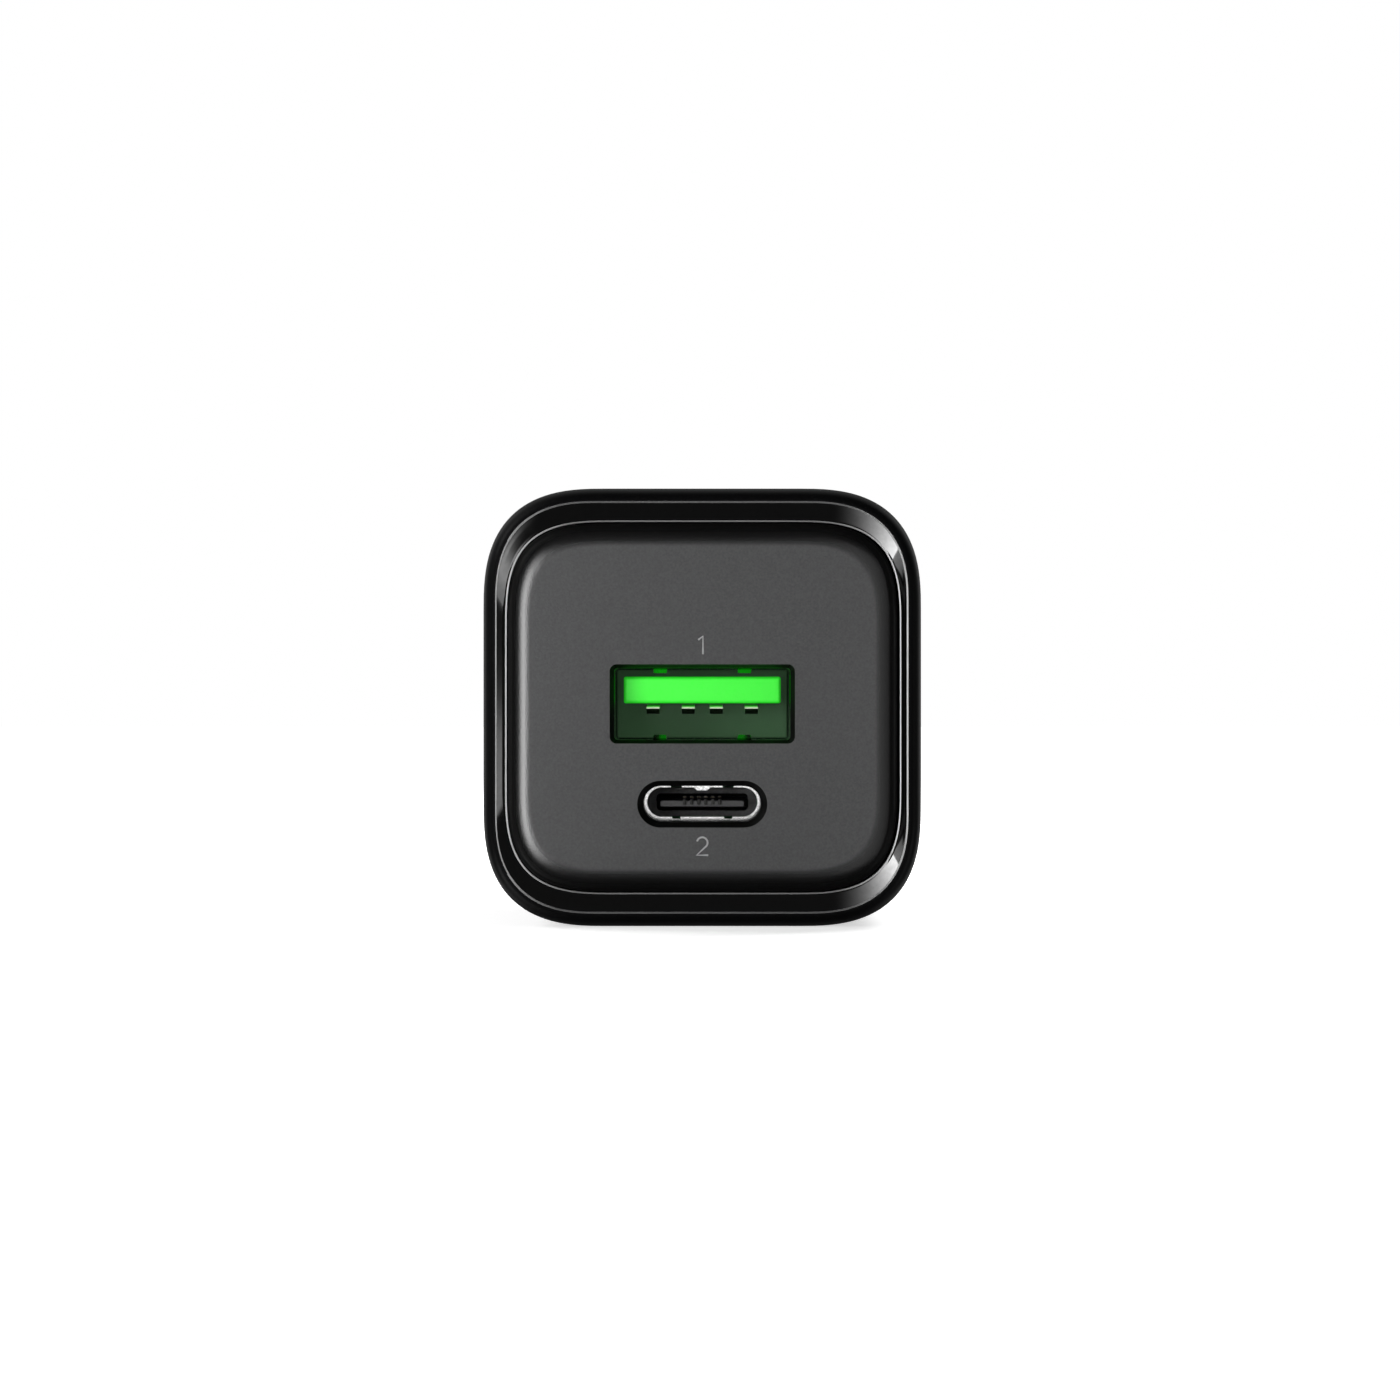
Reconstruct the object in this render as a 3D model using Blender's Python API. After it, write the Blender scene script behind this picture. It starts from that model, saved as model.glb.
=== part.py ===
"""USB wall charger: a rounded cube with two ports in front and a folding two-blade plug behind.

Metres, +Z up. The ports face -Y and the plug points along +Y. The origin lies on the floor, under the
middle of the whole length with the plug folded out.
"""

import math

import bmesh
import bpy
from mathutils import Matrix, Vector

# Housing
BODY_WIDTH = 0.031
BODY_HEIGHT = 0.031
BODY_DEPTH = 0.038
BODY_CORNER = 0.00854
BODY_POWER = 2.67
SHELL_WALL = 0.0016
SHELL_LIP = 0.0008
REAR_EDGE = 0.0006

# Front rim, sloping ring and panel
RIM_INSET = 0.00097
RIM_CORNER = 0.00714
RIM_POWER = 2.55
RIM_ROUND_DEPTH = 0.0014
RING_SIDE = 0.00064
RING_TOP = 0.00141
RING_DEPTH = 0.0007
PANEL_CORNER = 0.00778
PANEL_POWER = 3.14
PANEL_SET_BACK = 0.00012
PANEL_ROLL = 0.0017
PANEL_WALL = 0.0016
PANEL_SIDE = 0.0016
LEDGE_WIDTH = 0.001
LEDGE_THICKNESS = 0.0012

# Clearances
FIT_GAP = 0.0001
RUNNING_GAP = 0.0002

# USB-A port
USB_A_RISE = 0.00024
USB_A_MOUTH = (0.0131, 0.0056)
USB_A_MOUTH_ROUND = 0.0005
USB_A_INSIDE = (0.0125, 0.00512)
USB_A_WALL = 0.0003
USB_A_TONGUE = (0.01115, 0.0019)
USB_A_TONGUE_RISE = 0.00099
USB_A_TONGUE_START = 0.0024
USB_A_BASE = 0.0022
USB_A_CONTACT_PLACES = (-0.0035, -0.001, 0.001, 0.0035)
USB_A_CONTACT_WIDTH = 0.00092
USB_A_CONTACT_BUMP = 0.00045
USB_A_TAB_PLACES = (-0.003, 0.003)
USB_A_TAB_WIDTH = 0.00095
USB_A_TAB_HEIGHT = 0.00036
USB_A_TAB_START = 0.0008
USB_A_TAB_LENGTH = 0.0032
CONTACT_STOCK = 0.0002

# USB-C port
USB_C_DROP = 0.00684
USB_C_MOUTH = (0.0092, 0.00331)
USB_C_INSIDE = (0.00834, 0.00256)
USB_C_WALL = 0.0003
USB_C_STOP_DEPTH = 0.0086
USB_C_STOP_WIDTH = 0.00025
USB_C_TONGUE = (0.0065, 0.0007)
USB_C_TONGUE_NOSE = (0.00596, 0.00046)
USB_C_TONGUE_START = 0.0024
USB_C_CONTACTS = 6
USB_C_PITCH = 0.0005
USB_C_CONTACT_WIDTH = 0.00025
USB_C_CONTACT_STOCK = 0.00008
USB_C_CONTACT_LENGTH = 0.0034

# Boards
BOARD_THICKNESS = 0.0012
BOARD_RISE = 0.0018
BOARD_SIDE_GAP = 0.0023
BOARD_RIB_WIDTH = 0.0015
BOARD_RIB_SPREAD = 0.0070
PORT_BOARD_DEPTH = 0.0132
PORT_BOARD_WIDTH = 0.0206
PORT_BOARD_HEIGHT = 0.0195
SHEET_THICKNESS = 0.00025

# Folding plug
BLADE_REACH = 0.0165
BLADE_WIDTH = 0.00635
BLADE_THICKNESS = 0.0015
BLADE_SPACING = 0.0127
BLADE_TIP_ROUND = 0.0016
BLADE_HOLE = 0.0031
BLADE_HOLE_PLACE = 0.0119
AXIS_INSET = 0.0033
AXIS_HEADROOM = 0.0052
ROTOR_RADIUS = 0.0016
NECK_RADIUS = 0.0012
CAM_FLAT = 0.0014
CAM_WIDTH = 0.0050
JOURNAL_LENGTH = 0.0015
ROTOR_SHOULDER = 0.0010
SLOT_GAP = 0.0003
SLOT_END_GAP = 0.0005
CHANNEL_WALL = 0.0006
PLATE_THICKNESS = 0.0016
SCOOP_RADIUS = 0.0060
SCOOP_DEPTH = 0.0009
SCOOP_MARGIN = 0.0022
RETAINER_THICKNESS = 0.0012
RETAINER_HEIGHT = 0.0050
SPRING_STOCK = 0.00025
SPRING_WIDTH = 0.0040

# Transformer
CORE_SPAN = 0.0112
CORE_HEIGHT = 0.0120
CORE_DEPTH = 0.0050
CORE_LEG = 0.0016
CORE_CENTRE = 0.0030
CORE_BACK = 0.0018
BOBBIN_WALL = 0.0005
BOBBIN_OVERHANG = 0.0026
WINDING_INSET = 0.0003

# Other parts on the boards
TRANSFORMER_SHIFT = 0.00055
BULK_DIAMETER = 0.0061
BULK_HEIGHT = 0.0180
OUTPUT_DIAMETER = 0.0050
OUTPUT_HEIGHT = 0.0090
CHOKE_DIAMETER = 0.0050
CHOKE_HEIGHT = 0.0060
CHOKE_FLANGE = 0.0010
CHOKE_WAIST = 0.0024
FUSE_DIAMETER = 0.0030
FUSE_LENGTH = 0.0068
Y_CAPACITOR_DIAMETER = 0.0062
Y_CAPACITOR_THICKNESS = 0.0026
CAN_ROUND = 0.0004
CHIP_HEIGHT = 0.0011
BRIDGE_SIZE = (0.0048, 0.0040)
CONTROLLER_SIZE = (0.0049, 0.0039)
RECTIFIER_SIZE = (0.0050, 0.0060)
OPTOCOUPLER_SIZE = (0.0036, 0.0044, 0.0020)
PD_CHIP_SIZE = (0.0040, 0.0040)
PART_SPACING = 0.0004

# Facets
CORNER_STEPS = 8
SMALL_STEPS = 3
ROUND_SIDES = 20
ROLL_STEPS = 5
SMOOTH_ANGLE = math.radians(35)

# Places that several pieces share
TOTAL_DEPTH = BODY_DEPTH + BLADE_REACH
FRONT_Y = -TOTAL_DEPTH / 2
REAR_Y = FRONT_Y + BODY_DEPTH
CENTRE_Z = BODY_HEIGHT / 2
HALF_X = BODY_WIDTH / 2
HALF_Z = BODY_HEIGHT / 2
INNER_X = HALF_X - RIM_INSET - RING_SIDE
INNER_Z = HALF_Z - RIM_INSET - RING_TOP
CAVITY_X = HALF_X - SHELL_WALL
CAVITY_Z = HALF_Z - SHELL_WALL
LEDGE_DEPTH = RING_DEPTH + PANEL_SIDE + FIT_GAP
PLATE_DEPTH = BODY_DEPTH - PLATE_THICKNESS
PANEL_BACK = PANEL_SET_BACK + PANEL_WALL
PORT_FRONT = PANEL_BACK + FIT_GAP
PORT_REAR = PORT_BOARD_DEPTH - FIT_GAP
USB_A_Z = CENTRE_Z + USB_A_RISE
USB_C_Z = CENTRE_Z - USB_C_DROP
BOARD_Z = SHELL_WALL + BOARD_RISE
BOARD_TOP = BOARD_Z + BOARD_THICKNESS
AXIS_DEPTH = BODY_DEPTH - AXIS_INSET
AXIS_Y = FRONT_Y + AXIS_DEPTH
AXIS_Z = BODY_HEIGHT - AXIS_HEADROOM
BLADE_X = BLADE_SPACING / 2
SLOT_WIDTH = BLADE_THICKNESS + 2 * SLOT_GAP
CHANNEL_FLOOR = AXIS_DEPTH - BLADE_WIDTH / 2 - SLOT_END_GAP
CHANNEL_FRONT = CHANNEL_FLOOR - CHANNEL_WALL
CHANNEL_TOP = AXIS_Z - BLADE_WIDTH / 2 - SLOT_END_GAP
CHANNEL_BOTTOM = AXIS_Z - AXIS_INSET - BLADE_REACH - SLOT_END_GAP
BOARD_END = CHANNEL_FRONT - FIT_GAP
BOARD_START = PORT_BOARD_DEPTH - BOARD_THICKNESS
JOURNAL_START = BLADE_X + BLADE_THICKNESS / 2 + FIT_GAP + ROTOR_SHOULDER
ROTOR_END = JOURNAL_START + JOURNAL_LENGTH
BEARING_RADIUS = NECK_RADIUS + FIT_GAP
PARTS_START = PORT_BOARD_DEPTH + BOARD_THICKNESS


def finish(name, colour, roughness, metallic=0.0):
    """Principled material for one kind of piece."""
    material = bpy.data.materials.new(name)
    material.use_nodes = True
    shader = material.node_tree.nodes["Principled BSDF"]
    shader.inputs["Base Color"].default_value = (*colour, 1.0)
    shader.inputs["Roughness"].default_value = roughness
    shader.inputs["Metallic"].default_value = metallic
    return material


def add_piece(name, bm, material, pivot=None):
    """Turn a finished bmesh into a named object; a moving piece hangs on its pivot."""
    bmesh.ops.recalc_face_normals(bm, faces=bm.faces)
    mesh = bpy.data.meshes.new(name)
    bm.to_mesh(mesh)
    bm.free()
    mesh.materials.append(material)
    mesh.shade_smooth()
    mesh.set_sharp_from_angle(angle=SMOOTH_ANGLE)
    piece = bpy.data.objects.new(name, mesh)
    bpy.context.collection.objects.link(piece)
    if pivot:
        piece.parent = pivot
        piece.matrix_parent_inverse = Matrix.Translation(-pivot.location)
    return piece


def combine(piece, tool_mesh, operation):
    """Cut a tool out of a piece, or weld it on, with a Boolean modifier."""
    tool = add_piece(f"{piece.name}_tool_{len(piece.modifiers)}", tool_mesh, piece.data.materials[0])
    tool.hide_render = True
    tool.display_type = "WIRE"
    modifier = piece.modifiers.new(operation.title(), "BOOLEAN")
    modifier.operation = operation
    modifier.solver = "EXACT"
    modifier.object = tool


def block(low, high):
    """Box between two corners."""
    bm = bmesh.new()
    bmesh.ops.create_cube(bm, size=1.0)
    low, high = Vector(low), Vector(high)
    bmesh.ops.scale(bm, vec=high - low, verts=bm.verts)
    bmesh.ops.translate(bm, vec=(low + high) / 2, verts=bm.verts)
    return bm


def prism(outline, axis, start, end):
    """Extrude a flat outline along X, Y or Z; its points are the other two coordinates in order."""
    order = {"x": (2, 0, 1), "y": (0, 2, 1), "z": (0, 1, 2)}[axis]

    def place(u, v, w):
        return Vector([(u, v, w)[i] for i in order])

    bm = bmesh.new()
    face = bm.faces.new([bm.verts.new(place(u, v, start)) for u, v in outline])
    grown = bmesh.ops.extrude_face_region(bm, geom=[face])["geom"]
    moved = [item for item in grown if isinstance(item, bmesh.types.BMVert)]
    bmesh.ops.translate(bm, vec=place(0, 0, end - start), verts=moved)
    return bm


def circle(centre, radius, sides=ROUND_SIDES):
    """Points of a round outline."""
    turn = 2 * math.pi / sides
    return [
        (centre[0] + radius * math.cos(turn * i), centre[1] + radius * math.sin(turn * i))
        for i in range(sides)
    ]


def bent_strip(path, stock):
    """Outline of a bent strip of sheet metal, from the points along one of its faces."""
    path = [Vector(point) for point in path]
    other = []
    for i, point in enumerate(path):
        before = (point - path[i - 1]).normalized() if i else (path[1] - point).normalized()
        after = (path[i + 1] - point).normalized() if i + 1 < len(path) else before
        side = Vector((-before.y - after.y, before.x + after.x)).normalized()
        lean = side.dot(Vector((-after.y, after.x)))
        other.append(point + side * (stock / lean))
    return [tuple(point) for point in path + other[::-1]]


def rounded_outline(half_x, half_z, radius, power, steps):
    """Rectangle whose corners are quarter superellipses, about its own centre."""
    outline = []
    for sign_x, sign_z in ((1, 1), (-1, 1), (-1, -1), (1, -1)):
        for step in range(steps + 1):
            part = step if sign_x == sign_z else steps - step
            angle = math.pi / 2 * part / steps
            x = half_x - radius + radius * max(0.0, math.cos(angle)) ** (2 / power)
            z = half_z - radius + radius * max(0.0, math.sin(angle)) ** (2 / power)
            outline.append((sign_x * x, sign_z * z))
    return outline


def loop_at(depth, half_x, half_z, radius, power=2.0, z=CENTRE_Z, steps=CORNER_STEPS):
    """Rounded outline standing at a depth behind the rim."""
    outline = rounded_outline(half_x, half_z, radius, power, steps)
    return [Vector((u, FRONT_Y + depth, z + v)) for u, v in outline]


def loft(loops, ring=False):
    """Skin a row of equal loops; a ring joins the last to the first, otherwise both ends are capped."""
    bm = bmesh.new()
    rows = [[bm.verts.new(point) for point in loop] for loop in loops]
    pairs = list(zip(rows, rows[1:]))
    if ring:
        pairs.append((rows[-1], rows[0]))
    else:
        bm.faces.new(rows[0])
        bm.faces.new(rows[-1])
    for near, far in pairs:
        for i, vert in enumerate(near):
            bm.faces.new((near[i - 1], vert, far[i], far[i - 1]))
    return bm


def tube(outside, inside, wall_radius, z, start, end, power=2.0, steps=SMALL_STEPS):
    """Straight rounded tube along Y; sizes are full widths and heights."""
    inner_radius = min(wall_radius, inside[1] / 2)
    outer_radius = min(wall_radius + (outside[1] - inside[1]) / 2, outside[1] / 2)
    return loft(
        [
            loop_at(start, outside[0] / 2, outside[1] / 2, outer_radius, power, z, steps),
            loop_at(end, outside[0] / 2, outside[1] / 2, outer_radius, power, z, steps),
            loop_at(end, inside[0] / 2, inside[1] / 2, inner_radius, power, z, steps),
            loop_at(start, inside[0] / 2, inside[1] / 2, inner_radius, power, z, steps),
        ],
        ring=True,
    )


def turned_bar(stations, sides=ROUND_SIDES):
    """Bar along X through the plug's axis, from (x, radius, flat) stations; a flat squares the round."""
    loops = []
    for x, radius, flat in stations:
        loop = []
        for i in range(sides):
            angle = 2 * math.pi * i / sides
            reach = min(radius, flat / max(abs(math.cos(angle)), abs(math.sin(angle))))
            loop.append(Vector((x, AXIS_Y + reach * math.cos(angle), AXIS_Z + reach * math.sin(angle))))
        loops.append(loop)
    return loft(loops)


def can(centre, diameter, bottom, height, edge):
    """Upright round can with rolled edges."""
    bm = prism(circle(centre, diameter / 2), "z", bottom, bottom + height)
    rims = [e for e in bm.edges if abs(e.verts[0].co.z - e.verts[1].co.z) < edge / 10]
    bmesh.ops.bevel(bm, geom=rims, offset=edge, segments=2, profile=0.5, affect="EDGES", material=-1)
    return bm


for old in list(bpy.data.objects):
    bpy.data.objects.remove(old, do_unlink=True)

GLOSS_BLACK = finish("gloss_black", (0.006, 0.006, 0.006), 0.12)
MATTE_GREY = finish("matte_grey", (0.075, 0.075, 0.077), 0.5)
SATIN_BLACK = finish("satin_black", (0.012, 0.012, 0.013), 0.4)
GREEN = finish("green_plastic", (0.07, 0.98, 0.065), 0.35)
STEEL = finish("bright_steel", (0.78, 0.78, 0.77), 0.18, 1.0)
BRASS = finish("nickel_brass", (0.72, 0.70, 0.66), 0.22, 1.0)
GOLD = finish("gold_contact", (0.85, 0.66, 0.30), 0.25, 1.0)
LAMINATE = finish("board_laminate", (0.03, 0.16, 0.07), 0.45)
FERRITE = finish("ferrite", (0.035, 0.034, 0.034), 0.6)
TAPE = finish("yellow_tape", (0.75, 0.55, 0.06), 0.4)
COPPER = finish("enamelled_copper", (0.55, 0.22, 0.07), 0.3, 1.0)
SLEEVE = finish("capacitor_sleeve", (0.02, 0.03, 0.06), 0.35)
ALUMINIUM = finish("capacitor_can", (0.75, 0.75, 0.76), 0.3, 1.0)
CERAMIC = finish("blue_ceramic", (0.04, 0.16, 0.42), 0.45)
EPOXY = finish("black_epoxy", (0.015, 0.015, 0.016), 0.55)
FILM = finish("insulating_film", (0.80, 0.80, 0.76), 0.5)
FUSE_BODY = finish("fuse_body", (0.30, 0.18, 0.10), 0.5)

# Outer shell: one sleeve, skinned from the rear edge forward over the rim, down the ring and back inside
rim_x, rim_z = HALF_X - RIM_INSET, HALF_Z - RIM_INSET
shell_loops = [loop_at(BODY_DEPTH - REAR_EDGE, HALF_X, HALF_Z, BODY_CORNER, BODY_POWER)]
for step in range(ROLL_STEPS + 1):
    angle = math.pi / 2 * step / ROLL_STEPS
    share = 1 - math.cos(angle)
    shell_loops.append(
        loop_at(
            RIM_ROUND_DEPTH * (1 - math.sin(angle)),
            HALF_X - RIM_INSET * share,
            HALF_Z - RIM_INSET * share,
            BODY_CORNER + (RIM_CORNER - BODY_CORNER) * share,
            BODY_POWER + (RIM_POWER - BODY_POWER) * share,
        )
    )
inner_corner = BODY_CORNER - SHELL_WALL
ledge_corner = PANEL_CORNER - LEDGE_WIDTH
ledge_back = LEDGE_DEPTH + LEDGE_THICKNESS
cavity_start = ledge_back + SHELL_WALL
lip_corner = BODY_CORNER - SHELL_LIP
rear_corner = BODY_CORNER - REAR_EDGE
shell_loops += [
    loop_at(RING_DEPTH, INNER_X, INNER_Z, PANEL_CORNER, PANEL_POWER),
    loop_at(LEDGE_DEPTH, INNER_X, INNER_Z, PANEL_CORNER, PANEL_POWER),
    loop_at(LEDGE_DEPTH, INNER_X - LEDGE_WIDTH, INNER_Z - LEDGE_WIDTH, ledge_corner, PANEL_POWER),
    loop_at(ledge_back, INNER_X - LEDGE_WIDTH, INNER_Z - LEDGE_WIDTH, ledge_corner, PANEL_POWER),
    loop_at(cavity_start, CAVITY_X, CAVITY_Z, inner_corner, BODY_POWER),
    loop_at(PLATE_DEPTH - FIT_GAP, CAVITY_X, CAVITY_Z, inner_corner, BODY_POWER),
    loop_at(PLATE_DEPTH - FIT_GAP, HALF_X - SHELL_LIP, HALF_Z - SHELL_LIP, lip_corner, BODY_POWER),
    loop_at(BODY_DEPTH, HALF_X - SHELL_LIP, HALF_Z - SHELL_LIP, lip_corner, BODY_POWER),
    loop_at(BODY_DEPTH, HALF_X - REAR_EDGE, HALF_Z - REAR_EDGE, rear_corner, BODY_POWER),
]
outer_shell = add_piece("outer_shell", loft(shell_loops, ring=True), GLOSS_BLACK)
for side in (-1, 1):
    rib_x = side * BOARD_RIB_SPREAD
    rib = block(
        (rib_x - BOARD_RIB_WIDTH / 2, FRONT_Y + BOARD_START, SHELL_WALL / 2),
        (rib_x + BOARD_RIB_WIDTH / 2, FRONT_Y + BOARD_END, BOARD_Z - FIT_GAP),
    )
    combine(outer_shell, rib, "UNION")

# Front panel: a tray whose front face rolls over at the edge, with the two port mouths cut through
panel_x, panel_z = INNER_X - FIT_GAP, INNER_Z - FIT_GAP
panel_loops = []
for step in range(ROLL_STEPS + 1):
    angle = math.pi / 2 * step / ROLL_STEPS
    inset = PANEL_ROLL * (1 - math.sin(angle))
    panel_loops.append(
        loop_at(
            RING_DEPTH - (RING_DEPTH - PANEL_SET_BACK) * math.cos(angle),
            panel_x - inset,
            panel_z - inset,
            PANEL_CORNER - inset,
            PANEL_POWER,
        )
    )
tray_x, tray_z = panel_x - PANEL_WALL, panel_z - PANEL_WALL
tray_corner = PANEL_CORNER - PANEL_WALL
panel_rear = RING_DEPTH + PANEL_SIDE
panel_loops += [
    loop_at(panel_rear, panel_x, panel_z, PANEL_CORNER, PANEL_POWER),
    loop_at(panel_rear, tray_x, tray_z, tray_corner, PANEL_POWER),
    loop_at(PANEL_BACK, tray_x, tray_z, tray_corner, PANEL_POWER),
]
front_panel = add_piece("front_panel", loft(panel_loops), MATTE_GREY)
mouth_step = (PANEL_SET_BACK + PANEL_BACK) / 2
for z, mouth, inside, corner in (
    (USB_A_Z, USB_A_MOUTH, USB_A_INSIDE, USB_A_MOUTH_ROUND),
    (USB_C_Z, USB_C_MOUTH, USB_C_INSIDE, USB_C_MOUTH[1] / 2),
):
    inner = min(corner, inside[1] / 2)
    mouth_cutter = loft(
        [
            loop_at(-PANEL_WALL, mouth[0] / 2, mouth[1] / 2, corner, 2.0, z),
            loop_at(mouth_step, mouth[0] / 2, mouth[1] / 2, corner, 2.0, z),
            loop_at(mouth_step, inside[0] / 2, inside[1] / 2, inner, 2.0, z),
            loop_at(PANEL_BACK + PANEL_WALL, inside[0] / 2, inside[1] / 2, inner, 2.0, z),
        ]
    )
    combine(front_panel, mouth_cutter, "DIFFERENCE")

# USB-A receptacle: a drawn steel shell, a green moulding with the tongue, and four spring contacts
usb_a_outside = (USB_A_INSIDE[0] + 2 * USB_A_WALL, USB_A_INSIDE[1] + 2 * USB_A_WALL)
usb_a_shell = add_piece(
    "usb_a_shell",
    tube(usb_a_outside, USB_A_INSIDE, USB_A_WALL, USB_A_Z, PORT_FRONT, PORT_REAR),
    STEEL,
)
tab_y = FRONT_Y + PORT_FRONT + USB_A_TAB_START
tab_root = USB_A_INSIDE[1] / 2 + USB_A_WALL / 2
tab_crest = USB_A_INSIDE[1] / 2 - USB_A_TAB_HEIGHT
tab_profile = [
    (tab_y, tab_root),
    (tab_y + USB_A_TAB_LENGTH / 4, tab_crest),
    (tab_y + USB_A_TAB_LENGTH / 2, tab_crest),
    (tab_y + USB_A_TAB_LENGTH, tab_root),
]
for up in (1, -1):
    for x in USB_A_TAB_PLACES:
        outline = [(y, USB_A_Z + up * z) for y, z in tab_profile]
        tab = prism(outline, "x", x - USB_A_TAB_WIDTH / 2, x + USB_A_TAB_WIDTH / 2)
        combine(usb_a_shell, tab, "UNION")
tongue_z = USB_A_Z + USB_A_TONGUE_RISE
tongue_x, tongue_half = USB_A_TONGUE[0] / 2, USB_A_TONGUE[1] / 2
tongue_edge = USB_A_WALL / 2
base_front = PORT_REAR - USB_A_BASE
base_x, base_z = USB_A_INSIDE[0] / 2 - FIT_GAP, USB_A_INSIDE[1] / 2 - FIT_GAP
add_piece(
    "usb_a_insulator",
    loft(
        [
            loop_at(
                USB_A_TONGUE_START, tongue_x - tongue_edge, tongue_half - tongue_edge, tongue_edge, 2.0,
                tongue_z, SMALL_STEPS,
            ),
            loop_at(
                USB_A_TONGUE_START + tongue_edge, tongue_x, tongue_half, tongue_edge, 2.0, tongue_z,
                SMALL_STEPS,
            ),
            loop_at(base_front, tongue_x, tongue_half, tongue_edge, 2.0, tongue_z, SMALL_STEPS),
            loop_at(base_front, base_x, base_z, tongue_edge, 2.0, USB_A_Z, SMALL_STEPS),
            loop_at(PORT_REAR, base_x, base_z, tongue_edge, 2.0, USB_A_Z, SMALL_STEPS),
        ]
    ),
    GREEN,
)
contact_z = tongue_z - tongue_half - FIT_GAP
contact_start = USB_A_TONGUE_START + USB_A_WALL
contact_run = base_front - FIT_GAP - contact_start
contact_path = [
    (FRONT_Y + contact_start, contact_z - USB_A_CONTACT_BUMP / 4),
    (FRONT_Y + contact_start + contact_run * 0.12, contact_z - USB_A_CONTACT_BUMP),
    (FRONT_Y + contact_start + contact_run * 0.24, contact_z - USB_A_CONTACT_BUMP),
    (FRONT_Y + contact_start + contact_run * 0.60, contact_z),
    (FRONT_Y + contact_start + contact_run, contact_z),
]
for number, x in enumerate(USB_A_CONTACT_PLACES, 1):
    contact = bent_strip([(y, z - CONTACT_STOCK) for y, z in contact_path], CONTACT_STOCK)
    add_piece(
        f"usb_a_contact_{number}",
        prism(contact, "x", x - USB_A_CONTACT_WIDTH / 2, x + USB_A_CONTACT_WIDTH / 2),
        BRASS,
    )

# USB-C receptacle: a steel shell with a stop at its root, a black tongue and its middle contacts
usb_c_outside = (USB_C_INSIDE[0] + 2 * USB_C_WALL, USB_C_INSIDE[1] + 2 * USB_C_WALL)
stop = (USB_C_INSIDE[0] - 2 * USB_C_STOP_WIDTH, USB_C_INSIDE[1] - 2 * USB_C_STOP_WIDTH)
pill_loops = []
for depth, size in (
    (PORT_FRONT, usb_c_outside),
    (PORT_REAR, usb_c_outside),
    (PORT_REAR, stop),
    (USB_C_STOP_DEPTH, stop),
    (USB_C_STOP_DEPTH, USB_C_INSIDE),
    (PORT_FRONT, USB_C_INSIDE),
):
    pill_loops.append(loop_at(depth, size[0] / 2, size[1] / 2, size[1] / 2, 2.0, USB_C_Z))
add_piece("usb_c_shell", loft(pill_loops, ring=True), STEEL)
stem = (stop[0] - 2 * FIT_GAP, stop[1] - 2 * FIT_GAP)
stem_front = USB_C_STOP_DEPTH - USB_C_WALL
nose_end = USB_C_TONGUE_START + (USB_C_TONGUE[0] - USB_C_TONGUE_NOSE[0]) / 2
pill_loops = []
for depth, size in (
    (USB_C_TONGUE_START, USB_C_TONGUE_NOSE),
    (nose_end, USB_C_TONGUE),
    (stem_front, USB_C_TONGUE),
    (stem_front, stem),
    (PORT_REAR, stem),
):
    corner = size[1] / 2 if size == stem else size[1] / 4
    pill_loops.append(loop_at(depth, size[0] / 2, size[1] / 2, corner, 2.0, USB_C_Z, SMALL_STEPS))
add_piece("usb_c_insulator", loft(pill_loops), SATIN_BLACK)
pad_z = USB_C_Z + USB_C_TONGUE[1] / 2 + FIT_GAP / 4
for number in range(USB_C_CONTACTS):
    x = (number - (USB_C_CONTACTS - 1) / 2) * USB_C_PITCH
    pad = block(
        (x - USB_C_CONTACT_WIDTH / 2, FRONT_Y + stem_front - FIT_GAP - USB_C_CONTACT_LENGTH, pad_z),
        (x + USB_C_CONTACT_WIDTH / 2, FRONT_Y + stem_front - FIT_GAP, pad_z + USB_C_CONTACT_STOCK),
    )
    add_piece(f"usb_c_contact_{number + 1}", pad, GOLD)

# Boards: the main board lies on two ribs of the shell, and the port board stands across its front
board_x = CAVITY_X - BOARD_SIDE_GAP
add_piece(
    "main_board",
    block((-board_x, FRONT_Y + BOARD_START, BOARD_Z), (board_x, FRONT_Y + BOARD_END, BOARD_TOP)),
    LAMINATE,
)
port_board_z = BOARD_TOP + FIT_GAP
add_piece(
    "port_board",
    block(
        (-PORT_BOARD_WIDTH / 2, FRONT_Y + PORT_BOARD_DEPTH, port_board_z),
        (PORT_BOARD_WIDTH / 2, FRONT_Y + PARTS_START, port_board_z + PORT_BOARD_HEIGHT),
    ),
    LAMINATE,
)
sheet_x = BOARD_RIB_SPREAD - BOARD_RIB_WIDTH / 2 - FIT_GAP
sheet_z = SHELL_WALL + FIT_GAP
add_piece(
    "insulation_sheet",
    block(
        (-sheet_x, FRONT_Y + BOARD_START, sheet_z),
        (sheet_x, FRONT_Y + BOARD_END, sheet_z + SHEET_THICKNESS),
    ),
    FILM,
)

# Rear cover: a plate with two slots, a closed channel behind each slot, and half bearings for the rotor
plate_x, plate_z = HALF_X - SHELL_LIP - FIT_GAP, HALF_Z - SHELL_LIP - FIT_GAP
plate_corner = BODY_CORNER - SHELL_LIP - FIT_GAP
rear_cover = add_piece(
    "rear_cover",
    loft(
        [
            loop_at(PLATE_DEPTH, plate_x, plate_z, plate_corner, BODY_POWER),
            loop_at(BODY_DEPTH, plate_x, plate_z, plate_corner, BODY_POWER),
        ]
    ),
    GLOSS_BLACK,
)
channel_x = SLOT_WIDTH / 2 + CHANNEL_WALL
plate_middle = FRONT_Y + PLATE_DEPTH + PLATE_THICKNESS / 2
slot_top = AXIS_Z + BLADE_WIDTH / 2 + SLOT_END_GAP
bearing_half = NECK_RADIUS + 2 * CHANNEL_WALL
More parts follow.
